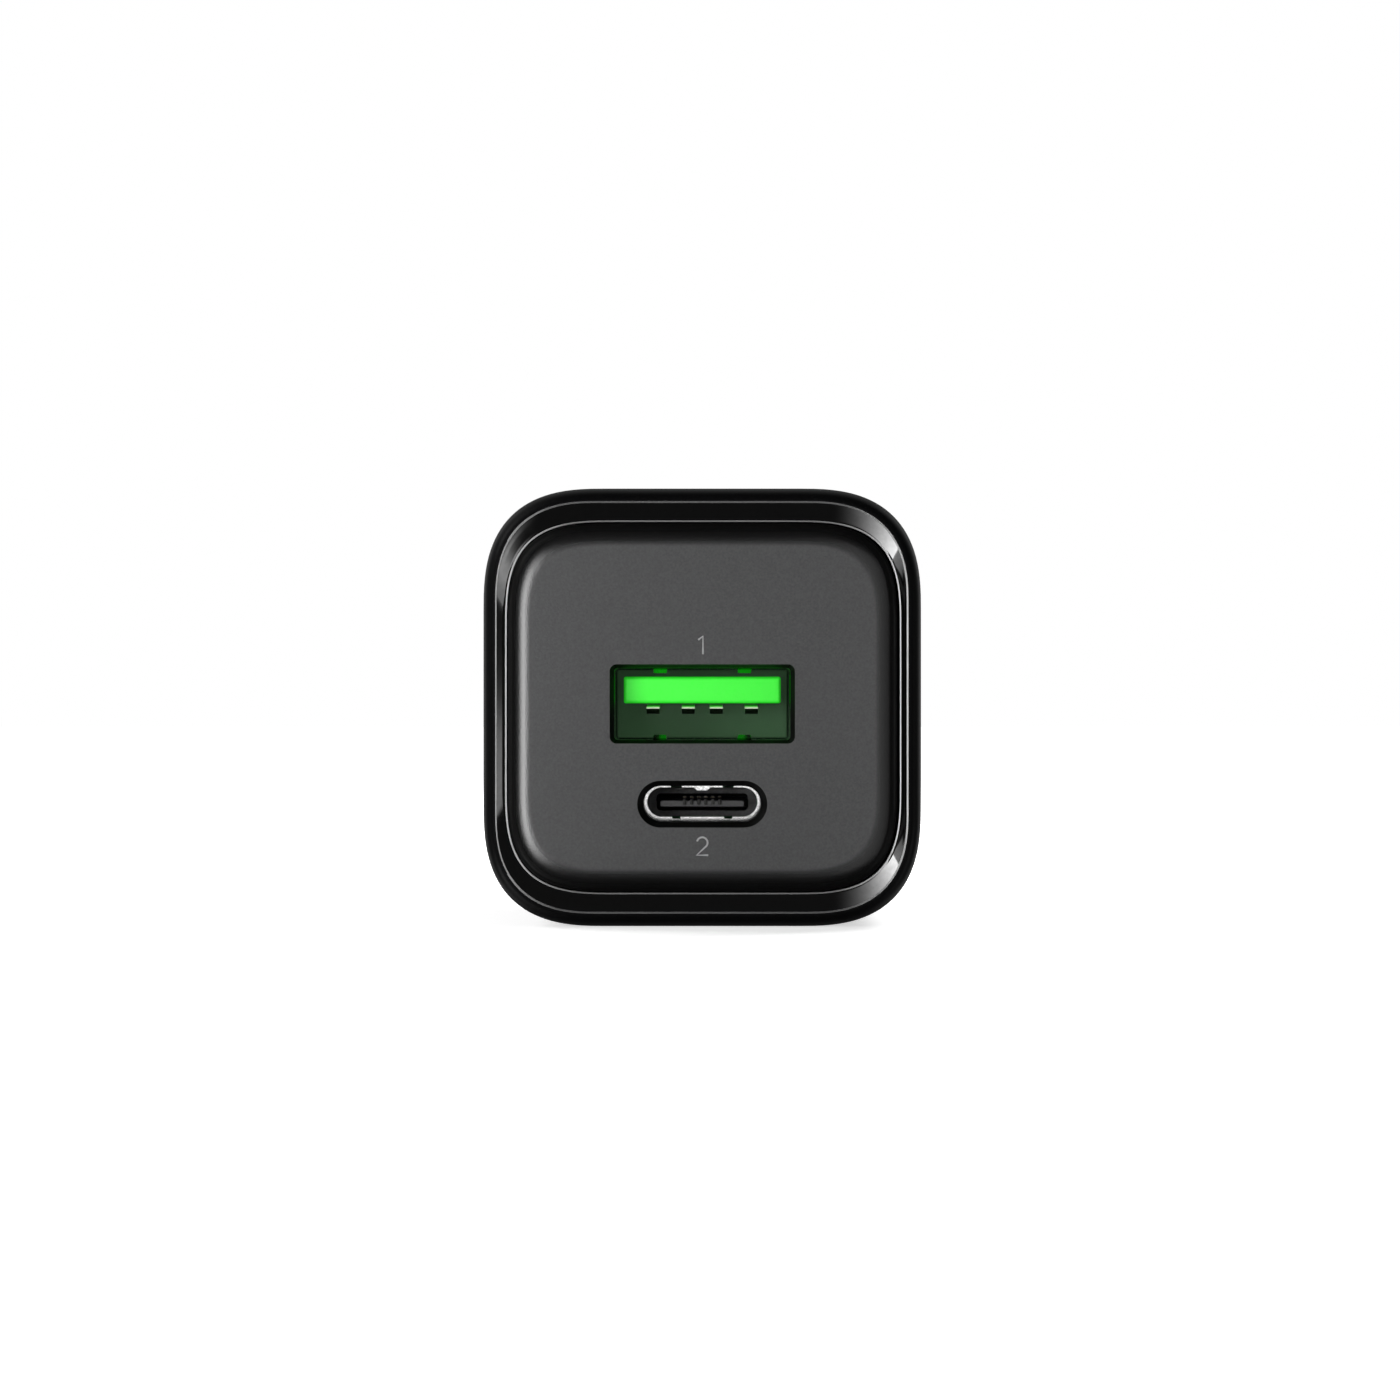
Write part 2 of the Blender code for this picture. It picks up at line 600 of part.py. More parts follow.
bearing_start = JOURNAL_START + FIT_GAP
for side in (-1, 1):
    x = side * BLADE_X
    trough = block(
        (x - channel_x, FRONT_Y + CHANNEL_FRONT, CHANNEL_BOTTOM - CHANNEL_WALL),
        (x + channel_x, plate_middle, CHANNEL_TOP),
    )
    combine(rear_cover, trough, "UNION")
    lug_x = sorted((side * bearing_start, side * ROTOR_END))
    lug = block(
        (lug_x[0], AXIS_Y + FIT_GAP, AXIS_Z - bearing_half),
        (lug_x[1], plate_middle, AXIS_Z + bearing_half),
    )
    combine(rear_cover, lug, "UNION")
for side in (-1, 1):
    x = side * BLADE_X
    slot = block(
        (x - SLOT_WIDTH / 2, FRONT_Y + CHANNEL_FLOOR, CHANNEL_BOTTOM),
        (x + SLOT_WIDTH / 2, REAR_Y + PLATE_THICKNESS, slot_top),
    )
    combine(rear_cover, slot, "DIFFERENCE")
scoop_z = CHANNEL_BOTTOM + SCOOP_MARGIN
scoop_y = REAR_Y + SCOOP_RADIUS - SCOOP_DEPTH
scoop_x = BLADE_X + channel_x + SCOOP_DEPTH
scoop = prism(circle((scoop_y, scoop_z), SCOOP_RADIUS, 2 * ROUND_SIDES), "x", -scoop_x, scoop_x)
combine(rear_cover, scoop, "DIFFERENCE")
bore_reach = ROTOR_END + ROTOR_RADIUS
for side in (-1, 1):
    reach = sorted((side * (JOURNAL_START - FIT_GAP), side * bore_reach))
    bore = prism(circle((AXIS_Y, AXIS_Z), BEARING_RADIUS), "x", *reach)
    combine(rear_cover, bore, "DIFFERENCE")

# Folding plug: a moulded rotor carries both blades and turns between the cover and its retainer
plug_pivot = bpy.data.objects.new("plug_pivot", None)
plug_pivot.location = (0.0, AXIS_Y, AXIS_Z)
bpy.context.collection.objects.link(plug_pivot)
neck_in = BLADE_X - BLADE_THICKNESS / 2 - FIT_GAP
neck_out = BLADE_X + BLADE_THICKNESS / 2 + FIT_GAP
half_stations = [
    (CAM_WIDTH / 2, ROTOR_RADIUS, CAM_FLAT),
    (CAM_WIDTH / 2 + FIT_GAP, ROTOR_RADIUS, ROTOR_RADIUS),
    (neck_in, ROTOR_RADIUS, ROTOR_RADIUS),
    (neck_in, NECK_RADIUS, NECK_RADIUS),
    (neck_out, NECK_RADIUS, NECK_RADIUS),
    (neck_out, ROTOR_RADIUS, ROTOR_RADIUS),
    (JOURNAL_START, ROTOR_RADIUS, ROTOR_RADIUS),
    (JOURNAL_START, NECK_RADIUS, NECK_RADIUS),
    (ROTOR_END, NECK_RADIUS, NECK_RADIUS),
]
stations = [(-x, radius, flat) for x, radius, flat in half_stations[::-1]] + half_stations
add_piece("plug_rotor", turned_bar(stations), SATIN_BLACK, plug_pivot)
tip_y = REAR_Y + BLADE_REACH
half_width = BLADE_WIDTH / 2
blade_outline = []
for step in range(ROUND_SIDES // 2 + 1):
    angle = math.pi / 2 + math.pi * step / (ROUND_SIDES // 2)
    blade_outline.append((AXIS_Y + half_width * math.cos(angle), AXIS_Z + half_width * math.sin(angle)))
for corner_sign, first in ((-1, -math.pi / 2), (1, 0.0)):
    for step in range(SMALL_STEPS + 1):
        angle = first + math.pi / 2 * step / SMALL_STEPS
        corner_z = AXIS_Z + corner_sign * (half_width - BLADE_TIP_ROUND)
        blade_outline.append(
            (
                tip_y - BLADE_TIP_ROUND + BLADE_TIP_ROUND * math.cos(angle),
                corner_z + BLADE_TIP_ROUND * math.sin(angle),
            )
        )
for name, side in (("blade_left", -1), ("blade_right", 1)):
    low = side * BLADE_X - BLADE_THICKNESS / 2
    high = side * BLADE_X + BLADE_THICKNESS / 2
    blade = add_piece(name, prism(blade_outline, "x", low, high), BRASS, plug_pivot)
    for place, radius in ((AXIS_Y, NECK_RADIUS + FIT_GAP), (REAR_Y + BLADE_HOLE_PLACE, BLADE_HOLE / 2)):
        hole = prism(circle((place, AXIS_Z), radius), "x", low - BLADE_THICKNESS, high + BLADE_THICKNESS)
        combine(blade, hole, "DIFFERENCE")

# Rotor retainer: a bridge with two cheeks that close the bearings from inside
bridge_rear = AXIS_Y - half_width - RUNNING_GAP
bridge_front = bridge_rear - RETAINER_THICKNESS
rotor_retainer = add_piece(
    "rotor_retainer",
    block(
        (-ROTOR_END, bridge_front, AXIS_Z - RETAINER_HEIGHT / 2),
        (ROTOR_END, bridge_rear, AXIS_Z + RETAINER_HEIGHT / 2),
    ),
    SATIN_BLACK,
)
for side in (-1, 1):
    cheek_x = sorted((side * bearing_start, side * ROTOR_END))
    cheek = block(
        (cheek_x[0], (bridge_front + bridge_rear) / 2, AXIS_Z - RETAINER_HEIGHT / 2),
        (cheek_x[1], AXIS_Y - FIT_GAP, AXIS_Z + RETAINER_HEIGHT / 2),
    )
    combine(rotor_retainer, cheek, "UNION")
for side in (-1, 1):
    reach = sorted((side * JOURNAL_START, side * bore_reach))
    bore = prism(circle((AXIS_Y, AXIS_Z), BEARING_RADIUS), "x", *reach)
    combine(rotor_retainer, bore, "DIFFERENCE")

# Detent spring: a leaf with two feet on the retainer, lying just clear of the rotor's cam
leaf_y = AXIS_Y - ROTOR_RADIUS - FIT_GAP
foot_y = bridge_rear + FIT_GAP
leaf_half = RETAINER_HEIGHT / 2 - SPRING_STOCK
leaf = bent_strip(
    [
        (foot_y + SPRING_STOCK, AXIS_Z - leaf_half),
        (leaf_y, AXIS_Z - leaf_half / 2),
        (leaf_y, AXIS_Z + leaf_half / 2),
        (foot_y + SPRING_STOCK, AXIS_Z + leaf_half),
    ],
    SPRING_STOCK,
)
add_piece("detent_spring", prism(leaf, "x", -SPRING_WIDTH / 2, SPRING_WIDTH / 2), BRASS)

# Mains contacts: leaves beside the heads of the blades, with a leg down to the main board
leg_rear = FRONT_Y + CHANNEL_FRONT - RUNNING_GAP
leg_front = leg_rear - 4 * CONTACT_STOCK
leaf_low = CHANNEL_TOP + RUNNING_GAP
leaf_high = AXIS_Z - RETAINER_HEIGHT / 2 - RUNNING_GAP
leaf_outline = [
    (leg_front, BOARD_TOP + FIT_GAP),
    (leg_rear, BOARD_TOP + FIT_GAP),
    (leg_rear, leaf_low),
    (AXIS_Y, leaf_low),
    (AXIS_Y, leaf_high),
    (leg_front, leaf_high),
]
leaf_x = BLADE_X + BLADE_THICKNESS / 2 + FIT_GAP
for name, side in (("ac_contact_left", -1), ("ac_contact_right", 1)):
    reach = sorted((side * leaf_x, side * (leaf_x + CONTACT_STOCK)))
    add_piece(name, prism(leaf_outline, "x", *reach), BRASS)

# Transformer: two ferrite E halves close round a wound bobbin
core_middle = FRONT_Y + (PARTS_START + CHANNEL_FRONT) / 2
core_z = BOARD_TOP + FIT_GAP + CORE_HEIGHT / 2
leg_gap = FIT_GAP / 2
core_half = CORE_SPAN / 2
window = core_half - CORE_LEG
window_z = CORE_HEIGHT / 2 - CORE_BACK
for name, up in (("transformer_core_upper", 1), ("transformer_core_lower", -1)):
    outline = [
        (-core_half, leg_gap),
        (-window, leg_gap),
        (-window, window_z),
        (-CORE_CENTRE / 2, window_z),
        (-CORE_CENTRE / 2, leg_gap),
        (CORE_CENTRE / 2, leg_gap),
        (CORE_CENTRE / 2, window_z),
        (window, window_z),
        (window, leg_gap),
        (core_half, leg_gap),
        (core_half, CORE_HEIGHT / 2),
        (-core_half, CORE_HEIGHT / 2),
    ]
    placed = [(x + TRANSFORMER_SHIFT, core_z + up * z) for x, z in outline]
    e_half = prism(placed, "y", core_middle - CORE_DEPTH / 2, core_middle + CORE_DEPTH / 2)
    add_piece(name, e_half, FERRITE)


def upright_ring(sections):
    """Closed ring round the transformer's middle leg, from (half x, half y, z) sections."""
    loops = []
    for half_x, half_y, z in sections:
        outline = rounded_outline(half_x, half_y, FIT_GAP, 2.0, SMALL_STEPS)
        loops.append([Vector((u + TRANSFORMER_SHIFT, core_middle + v, core_z + z)) for u, v in outline])
    return loft(loops, ring=True)


hole_x, hole_y = CORE_CENTRE / 2 + FIT_GAP, CORE_DEPTH / 2 + FIT_GAP
spool_x, spool_y = hole_x + BOBBIN_WALL, hole_y + BOBBIN_WALL
flange_x, flange_y = window - FIT_GAP, CORE_DEPTH / 2 + BOBBIN_OVERHANG
flange_z = window_z - FIT_GAP
spool_z = flange_z - BOBBIN_WALL
add_piece(
    "transformer_bobbin",
    upright_ring(
        [
            (hole_x, hole_y, -flange_z),
            (flange_x, flange_y, -flange_z),
            (flange_x, flange_y, -spool_z),
            (spool_x, spool_y, -spool_z),
            (spool_x, spool_y, spool_z),
            (flange_x, flange_y, spool_z),
            (flange_x, flange_y, flange_z),
            (hole_x, hole_y, flange_z),
        ]
    ),
    EPOXY,
)
coil_x, coil_y = flange_x - WINDING_INSET, flange_y - WINDING_INSET
coil_z = spool_z - FIT_GAP
add_piece(
    "transformer_winding",
    upright_ring(
        [
            (spool_x + FIT_GAP, spool_y + FIT_GAP, -coil_z),
            (coil_x, coil_y, -coil_z),
            (coil_x, coil_y, coil_z),
            (spool_x + FIT_GAP, spool_y + FIT_GAP, coil_z),
        ]
    ),
    TAPE,
)

# Capacitors, choke and fuse stand on the main board on both sides of the transformer
part_z = BOARD_TOP + FIT_GAP
bulk_x = TRANSFORMER_SHIFT - core_half - PART_SPACING - BULK_DIAMETER / 2
bulk_y = FRONT_Y + PARTS_START + PART_SPACING + BULK_DIAMETER / 2
for number in (1, 2):
    place = (bulk_x, bulk_y + (number - 1) * (BULK_DIAMETER + PART_SPACING))
    add_piece(
        f"bulk_capacitor_{number}", can(place, BULK_DIAMETER, part_z, BULK_HEIGHT, CAN_ROUND), SLEEVE
    )
right_x = TRANSFORMER_SHIFT + core_half + PART_SPACING
output_x = right_x + OUTPUT_DIAMETER / 2
output_y = FRONT_Y + PARTS_START + PART_SPACING + OUTPUT_DIAMETER / 2
add_piece(
    "output_capacitor_1",
    can((output_x, output_y), OUTPUT_DIAMETER, part_z, OUTPUT_HEIGHT, CAN_ROUND),
    ALUMINIUM,
)
choke_place = (
    right_x + CHOKE_DIAMETER / 2,
    output_y + OUTPUT_DIAMETER / 2 + PART_SPACING + CHOKE_DIAMETER / 2,
)


def round_loop(centre, radius, z):
    """Level circle for turned pieces that stand on a board."""
    return [Vector((x, y, z)) for x, y in circle(centre, radius)]


choke_top = part_z + CHOKE_HEIGHT
waist_low, waist_high = part_z + CHOKE_FLANGE, choke_top - CHOKE_FLANGE
add_piece(
    "choke_core",
    loft(
        [
            round_loop(choke_place, CHOKE_DIAMETER / 2, part_z),
            round_loop(choke_place, CHOKE_DIAMETER / 2, waist_low),
            round_loop(choke_place, CHOKE_WAIST / 2, waist_low),
            round_loop(choke_place, CHOKE_WAIST / 2, waist_high),
            round_loop(choke_place, CHOKE_DIAMETER / 2, waist_high),
            round_loop(choke_place, CHOKE_DIAMETER / 2, choke_top),
        ]
    ),
    FERRITE,
)
wire_out = CHOKE_DIAMETER / 2 - WINDING_INSET
wire_in = CHOKE_WAIST / 2 + FIT_GAP
add_piece(
    "choke_winding",
    loft(
        [
            round_loop(choke_place, wire_in, waist_low + FIT_GAP),
            round_loop(choke_place, wire_out, waist_low + FIT_GAP),
            round_loop(choke_place, wire_out, waist_high - FIT_GAP),
            round_loop(choke_place, wire_in, waist_high - FIT_GAP),
        ],
        ring=True,
    ),
    COPPER,
)
output_2_z = part_z + OUTPUT_HEIGHT + FIT_GAP
add_piece(
    "output_capacitor_2",
    can((output_x, output_y), OUTPUT_DIAMETER, output_2_z, OUTPUT_HEIGHT, CAN_ROUND),
    ALUMINIUM,
)
fuse_z = choke_top + FIT_GAP + FUSE_DIAMETER / 2
fuse_y = choke_place[1] - CHOKE_DIAMETER / 2
fuse_end = circle((right_x + FUSE_DIAMETER / 2, fuse_z), FUSE_DIAMETER / 2)
add_piece("fuse", prism(fuse_end, "y", fuse_y, fuse_y + FUSE_LENGTH), FUSE_BODY)
disc_z = core_z + CORE_HEIGHT / 2 + FIT_GAP + Y_CAPACITOR_DIAMETER / 2
disc = circle((TRANSFORMER_SHIFT, disc_z), Y_CAPACITOR_DIAMETER / 2)
y_capacitor = prism(
    disc, "y", core_middle - Y_CAPACITOR_THICKNESS / 2, core_middle + Y_CAPACITOR_THICKNESS / 2
)
add_piece("y_capacitor", y_capacitor, CERAMIC)

# Chips: three under the main board, one beside the transformer's foot and one behind the ports
chip_top = BOARD_Z - FIT_GAP
chip_y = FRONT_Y + PARTS_START + PART_SPACING
for name, size, x, y in (
    ("bridge_rectifier", BRIDGE_SIZE, -BRIDGE_SIZE[0] / 2, chip_y),
    ("controller_ic", CONTROLLER_SIZE, -CONTROLLER_SIZE[0] / 2, chip_y + BRIDGE_SIZE[1] + PART_SPACING),
    (
        "sync_rectifier",
        RECTIFIER_SIZE,
        -RECTIFIER_SIZE[0] / 2,
        chip_y + BRIDGE_SIZE[1] + CONTROLLER_SIZE[1] + 2 * PART_SPACING,
    ),
):
    add_piece(name, block((x, y, chip_top - CHIP_HEIGHT), (x + size[0], y + size[1], chip_top)), EPOXY)
chip_face = FRONT_Y + PARTS_START + FIT_GAP
opto_low = (-OPTOCOUPLER_SIZE[0] / 2, chip_face, port_board_z + PORT_BOARD_HEIGHT / 2)
pd_low = (-PD_CHIP_SIZE[0] / 2, chip_face, opto_low[2] + OPTOCOUPLER_SIZE[1] + PART_SPACING)
add_piece(
    "optocoupler",
    block(
        opto_low,
        (
            opto_low[0] + OPTOCOUPLER_SIZE[0],
            opto_low[1] + OPTOCOUPLER_SIZE[2],
            opto_low[2] + OPTOCOUPLER_SIZE[1],
        ),
    ),
    FILM,
)
add_piece(
    "pd_controller_ic",
    block(pd_low, (pd_low[0] + PD_CHIP_SIZE[0], pd_low[1] + CHIP_HEIGHT, pd_low[2] + PD_CHIP_SIZE[1])),
    EPOXY,
)
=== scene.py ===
import math

import bmesh
import bpy
from mathutils import Matrix, Vector


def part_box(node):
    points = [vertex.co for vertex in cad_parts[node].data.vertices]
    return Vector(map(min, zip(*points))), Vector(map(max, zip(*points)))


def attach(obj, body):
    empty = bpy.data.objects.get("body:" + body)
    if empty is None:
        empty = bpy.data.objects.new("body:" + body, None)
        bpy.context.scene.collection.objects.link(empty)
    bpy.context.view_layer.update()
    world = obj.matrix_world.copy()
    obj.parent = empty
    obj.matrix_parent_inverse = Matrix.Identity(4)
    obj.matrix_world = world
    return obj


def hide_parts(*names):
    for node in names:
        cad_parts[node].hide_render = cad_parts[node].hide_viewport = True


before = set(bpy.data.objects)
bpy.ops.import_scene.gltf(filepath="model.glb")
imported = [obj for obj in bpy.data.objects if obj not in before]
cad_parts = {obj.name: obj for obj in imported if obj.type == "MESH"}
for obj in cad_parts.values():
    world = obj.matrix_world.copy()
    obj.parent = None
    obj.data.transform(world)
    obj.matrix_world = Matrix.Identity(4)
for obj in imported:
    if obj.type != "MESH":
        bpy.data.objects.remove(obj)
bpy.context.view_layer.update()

# Outer shell: one black moulding, a sleeve with rounded-square ends that holds everything else.
# Its front is rounded over to a fine rim, and a glossy ring slopes in from there to a lip round
# the panel; rim and lip are pale painted highlight lines, paler down the sides than along the top
# and bottom. The sides have the faint texture that they take from the mould.
MM = 0.001
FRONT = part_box("outer_shell")[0].y
MIDDLE = (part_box("outer_shell")[0].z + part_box("outer_shell")[1].z) / 2


class Wire:
    """A shader socket that Python's operators join with Math nodes."""

    def __init__(self, tree, socket=None):
        self.tree = tree
        self.socket = socket

    def node(self, kind, settings, sockets, out=0):
        """Add a node: its settings first, then the values or links of its sockets."""
        made = self.tree.nodes.new(kind)
        for key, value in settings.items():
            if key == "stops":
                for place, colour in value[2:]:
                    made.color_ramp.elements.new(place)
                for element, (place, colour) in zip(made.color_ramp.elements, sorted(value)):
                    element.position = place
                    element.color = (*colour, 1.0)
            else:
                setattr(made, key, value)
        for key, value in sockets.items():
            if isinstance(value, Wire):
                self.tree.links.new(value.socket, made.inputs[key])
            else:
                made.inputs[key].default_value = value
        return Wire(self.tree, made.outputs[out])

    def maths(self, operation, first, second=0.0):
        return self.node("ShaderNodeMath", {"operation": operation}, {0: first, 1: second})

    def __add__(self, other):
        return self.maths("ADD", self, other)

    def __sub__(self, other):
        return self.maths("SUBTRACT", self, other)

    def __rsub__(self, other):
        return self.maths("SUBTRACT", other, self)

    def __mul__(self, other):
        return self.maths("MULTIPLY", self, other)

    def __pow__(self, other):
        return self.maths("POWER", self, other)

    def __abs__(self):
        return self.maths("ABSOLUTE", self)

    def __gt__(self, other):
        return self.maths("GREATER_THAN", self, other)

    def __lt__(self, other):
        return self.maths("LESS_THAN", self, other)

    __radd__ = __add__
    __rmul__ = __mul__


def finish(name, **constants):
    """A material whose Principled shader has these constants, and its tree as a Wire."""
    material = bpy.data.materials.new(name)
    material.use_nodes = True
    shader = material.node_tree.nodes["Principled BSDF"]
    for key, value in constants.items():
        shader.inputs[key.replace("_", " ")].default_value = value
    return material, Wire(material.node_tree)


def feed(wire, **varying):
    """Lead what changes over a surface into its Principled shader."""
    shader = wire.tree.nodes["Principled BSDF"]
    for key, value in varying.items():
        wire.tree.links.new(value.socket, shader.inputs[key.replace("_", " ")])


def coordinate(wire, axis):
    """One of a piece's own coordinates, in metres: 0 is across, 1 along and 2 up."""
    place = wire.node("ShaderNodeTexCoord", {}, {}, "Object")
    return wire.node("ShaderNodeSeparateXYZ", {}, {0: place}, axis)


def speckle(wire, scale, stretch=(1, 1, 1)):
    """Fine noise over a piece, in its own coordinates, as a number from 0 to 1."""
    place = wire.node("ShaderNodeTexCoord", {}, {}, "Object")
    turned = wire.node("ShaderNodeMapping", {}, {"Vector": place, "Scale": stretch})
    return wire.node("ShaderNodeTexNoise", {}, {"Vector": turned, "Scale": scale, "Detail": 3})


def ramp(value, start, end, first=0.0, last=1.0, kind="SMOOTHSTEP"):
    """A number that goes from first to last as a value goes from start to end."""
    return value.node(
        "ShaderNodeMapRange", {"interpolation_type": kind},
        {"Value": value, "From Min": start, "From Max": end, "To Min": first, "To Max": last},
    )


def graded(wire, value, *stops):
    """A colour that passes through stops of place and colour as a value goes from 0 to 1."""
    return wire.node("ShaderNodeValToRGB", {"stops": stops}, {"Fac": value})


def grey(shade):
    return (shade, shade, shade)


def relief(wire, height, strength, depth=0.02):
    """A slight bump, with its depth in mm."""
    return wire.node(
        "ShaderNodeBump", {}, {"Strength": strength, "Distance": depth * MM, "Height": height}
    )


def moulded(name, dark, light, roughness, grain, bump, spread=0.1, **constants):
    """Moulded or coated surface: two near shades in a fine grain, uneven gloss, a slight bump."""
    material, wire = finish(name, **constants)
    fine = speckle(wire, grain)
    broad = speckle(wire, grain / 40)
    feed(
        wire, Base_Color=graded(wire, fine, (0.3, dark), (0.7, light)),
        Roughness=(broad - 0.5) * spread + roughness, Normal=relief(wire, fine, bump),
    )
    return material


def highlight_line(name, low, high):
    """A moulding's sharp edge as a pale painted highlight line, painted paler down its two sides
    than along its top and bottom.
    """
    material, wire = finish(name, Roughness=0.35)
    side = abs(coordinate(wire, 0))
    height = abs(coordinate(wire, 2) - MIDDLE)
    # Painted highlight: paler where the edge runs up the sides than along the top and bottom.
    side_highlight = (side - height) * 90.0 + 0.35 + (speckle(wire, 4000) - 0.5) * 0.2
    feed(wire, Base_Color=graded(wire, side_highlight, (0.0, grey(low)), (1.0, grey(high))))
    return material


def sleeve(stations, steps, rise=0.0, caps=False):
    """Extrude a rounded-square ring through stations of depth, half width, half height, corner
    radius, corner power and paint, in mm; it closes on itself, or has a cap on each end."""
    bm = bmesh.new()
    place = bm.verts.layers.int.new("place")
    ring = bmesh.ops.create_circle(bm, segments=4 * (steps + 1), radius=1.0)["verts"]
    for number, vert in enumerate(ring):
        vert[place] = number
    edges = list(bm.edges)
    first = list(edges)
    for number, (depth, half_x, half_z, radius, power, paint) in enumerate(stations):
        if number:
            grown = bmesh.ops.extrude_edge_only(bm, edges=edges)["geom"]
            ring = [item for item in grown if isinstance(item, bmesh.types.BMVert)]
            edges = [i for i in grown if isinstance(i, bmesh.types.BMEdge) and i.is_boundary]
            for edge in edges:
                edge.link_faces[0].material_index = paint
        for vert in ring:
            corner, step = divmod(vert[place], steps + 1)
            angle = math.pi / 2 * step / steps
            bend = [max(part, 0.0) ** (2 / power) for part in (math.cos(angle), math.sin(angle))]
            if corner % 2:
                bend.reverse()
            x = half_x - radius + radius * bend[0]
            z = half_z - radius + radius * bend[1]
            x = -x if corner in (1, 2) else x
            z = -z if corner in (2, 3) else z
            vert.co = (x * MM, FRONT + depth * MM, MIDDLE + (rise + z) * MM)
    if caps:
        bmesh.ops.edgeloop_fill(bm, edges=first, mat_nr=stations[0][5])
        bmesh.ops.edgeloop_fill(bm, edges=edges, mat_nr=stations[-1][5])
    else:
        bmesh.ops.bridge_loops(bm, edges=first + edges)
    bmesh.ops.recalc_face_normals(bm, faces=bm.faces)
    return bm


def inset(form, amount):
    """A form drawn in by an amount on every side."""
    return (form[0] - amount, form[1] - amount, form[2] - amount, form[3])


def between(start, end, share):
    """A form part of the way from one form to another."""
    return tuple(a + (b - a) * share for a, b in zip(start, end))


def piece(name, bm, paints, body, slot, *nodes, flats=False):
    """Make a finished mesh an object that rides on its body and stands for its CAD nodes."""
    mesh = bpy.data.meshes.new(name)
    bm.to_mesh(mesh)
    bm.free()
    for paint in paints:
        mesh.materials.append(paint)
    mesh.shade_smooth()
    mesh.set_sharp_from_angle(angle=math.radians(30))
    made = bpy.data.objects.new(name, mesh)
    bpy.context.scene.collection.objects.link(made)
    if flats:
        level = made.modifiers.new("level_flats", "WEIGHTED_NORMAL")
        level.keep_sharp = True
        level.weight = 100
    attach(made, body)
    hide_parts(*nodes)


mould_black = (0.0022, 0.0022, 0.0024)
shell_black = moulded(
    "shell_black", mould_black, (0.0038, 0.0038, 0.004), 0.32, 9000, 0.2, Specular_IOR_Level=0.06,
)
side_black, skin = finish(
    "side_black", Roughness=0.34, Specular_IOR_Level=0.06, Coat_Roughness=0.34, Coat_IOR=1.5,
)
# Towards the back the sides are painted paler and given a clear coat: partly the sides' textured
# finish, partly painted shade that keeps the front next to the rounding dark.
gloss_start, gloss_end = 1.2, 8.0
skin_grain = speckle(skin, 9000)
skin_back = ramp(coordinate(skin, 1), FRONT + gloss_start * MM, FRONT + gloss_end * MM)
skin_painted_shade = graded(
    skin, skin_grain * 0.5 + skin_back * 0.45, (0.3, mould_black), (1.0, (0.010, 0.010, 0.0103)),
)
feed(
    skin, Base_Color=skin_painted_shade, Coat_Weight=skin_back * 0.8,
    Normal=relief(skin, skin_grain, 0.3),
)
ring_black = moulded(
    "ring_black", grey(0.15), grey(0.17), 0.06, 3000, 0.01, spread=0.02, Metallic=1.0,
)
# The rim and the lip are pale painted highlight lines on the black moulding.
rim_highlight = highlight_line("rim_highlight", 0.10, 0.60)
lip_highlight = highlight_line("lip_highlight", 0.20, 0.95)
shell_paints = [shell_black, rim_highlight, ring_black, side_black, lip_highlight]
BLACK, RIM, RING, SIDE, LIP = range(5)

# A form is a section's half width, half height, corner radius and corner power, in mm.
outside = (15.5, 15.5, 8.54, 2.67)
rim = (14.53, 14.53, 7.14, 2.55)
inner = (13.89, 13.12, 7.78, 3.14)
ledge = (12.89, 12.12, 6.78, 3.14)
cavity = (13.9, 13.9, 6.94, 2.67)
cover_seat = inset(outside, 0.8)
body_length = 38.0
seat_depth = 36.4
ledge_front, ledge_back = 2.4, 3.6
front_round, front_steps = 1.4, 17
rear_round, rear_steps = 0.6, 8
ring_depth, ring_steps = 0.7, 7
shell_stations = [
    (ledge_back, *cavity, BLACK), (seat_depth, *cavity, BLACK),
    (seat_depth, *cover_seat, BLACK), (body_length - 0.04, *cover_seat, BLACK),
]
for step in range(rear_steps + 1):
    turn = math.pi / 2 * step / rear_steps
    depth = body_length - rear_round * (1 - math.cos(turn))
    shell_stations.append((depth, *inset(outside, rear_round * (1 - math.sin(turn))), SIDE))
shell_stations.append((front_round + 0.2, *outside, SIDE))
for step in range(front_steps):
    turn = math.pi / 2 * (1 - step / front_steps)
    depth = front_round * (1 - math.cos(turn))
    shell_stations.append((depth, *between(rim, outside, math.sin(turn)), BLACK))
shell_stations += [
    (0.0, *inset(rim, -0.03), BLACK),
    (0.012, *inset(rim, 0.03), RIM), (0.05, *inset(rim, 0.09), RIM),
]
for step in range(1, ring_steps + 1):
    share = 0.2 + 0.65 * step / ring_steps
    shell_stations.append((ring_depth * share, *between(rim, inner, share), RING))
shell_stations += [
    (ring_depth - 0.055, *inset(inner, -0.10), RING),
    (ring_depth - 0.03, *inset(inner, -0.02), LIP), (ring_depth, *inner, LIP),
    (ledge_front, *inner, BLACK), (ledge_front, *ledge, BLACK), (ledge_back, *ledge, BLACK),
]
shell_form = sleeve(shell_stations, 28)

# The ring lies a little off centre: its rim stands out on the left, its lip leans to the right.
rim_left, lip_left, lip_right = -0.11, 0.05, 0.10
ring_width = 29.0
ring_faces = [f for f in shell_form.faces if f.material_index in (RIM, RING, LIP)]
for vert in {vert for face in ring_faces for vert in face.verts}:
    ring_share = (vert.co.y - FRONT) / (ring_depth * MM)
    right_share = vert.co.x / (ring_width * MM) + 0.5
    rim_shift = rim_left * (1 - right_share)
    lip_shift = lip_left + (lip_right - lip_left) * right_share
    vert.co.x += (rim_shift + (lip_shift - rim_shift) * ring_share) * MM
piece("shell_moulding", shell_form, shell_paints, "housing", "gloss_black", "outer_shell")
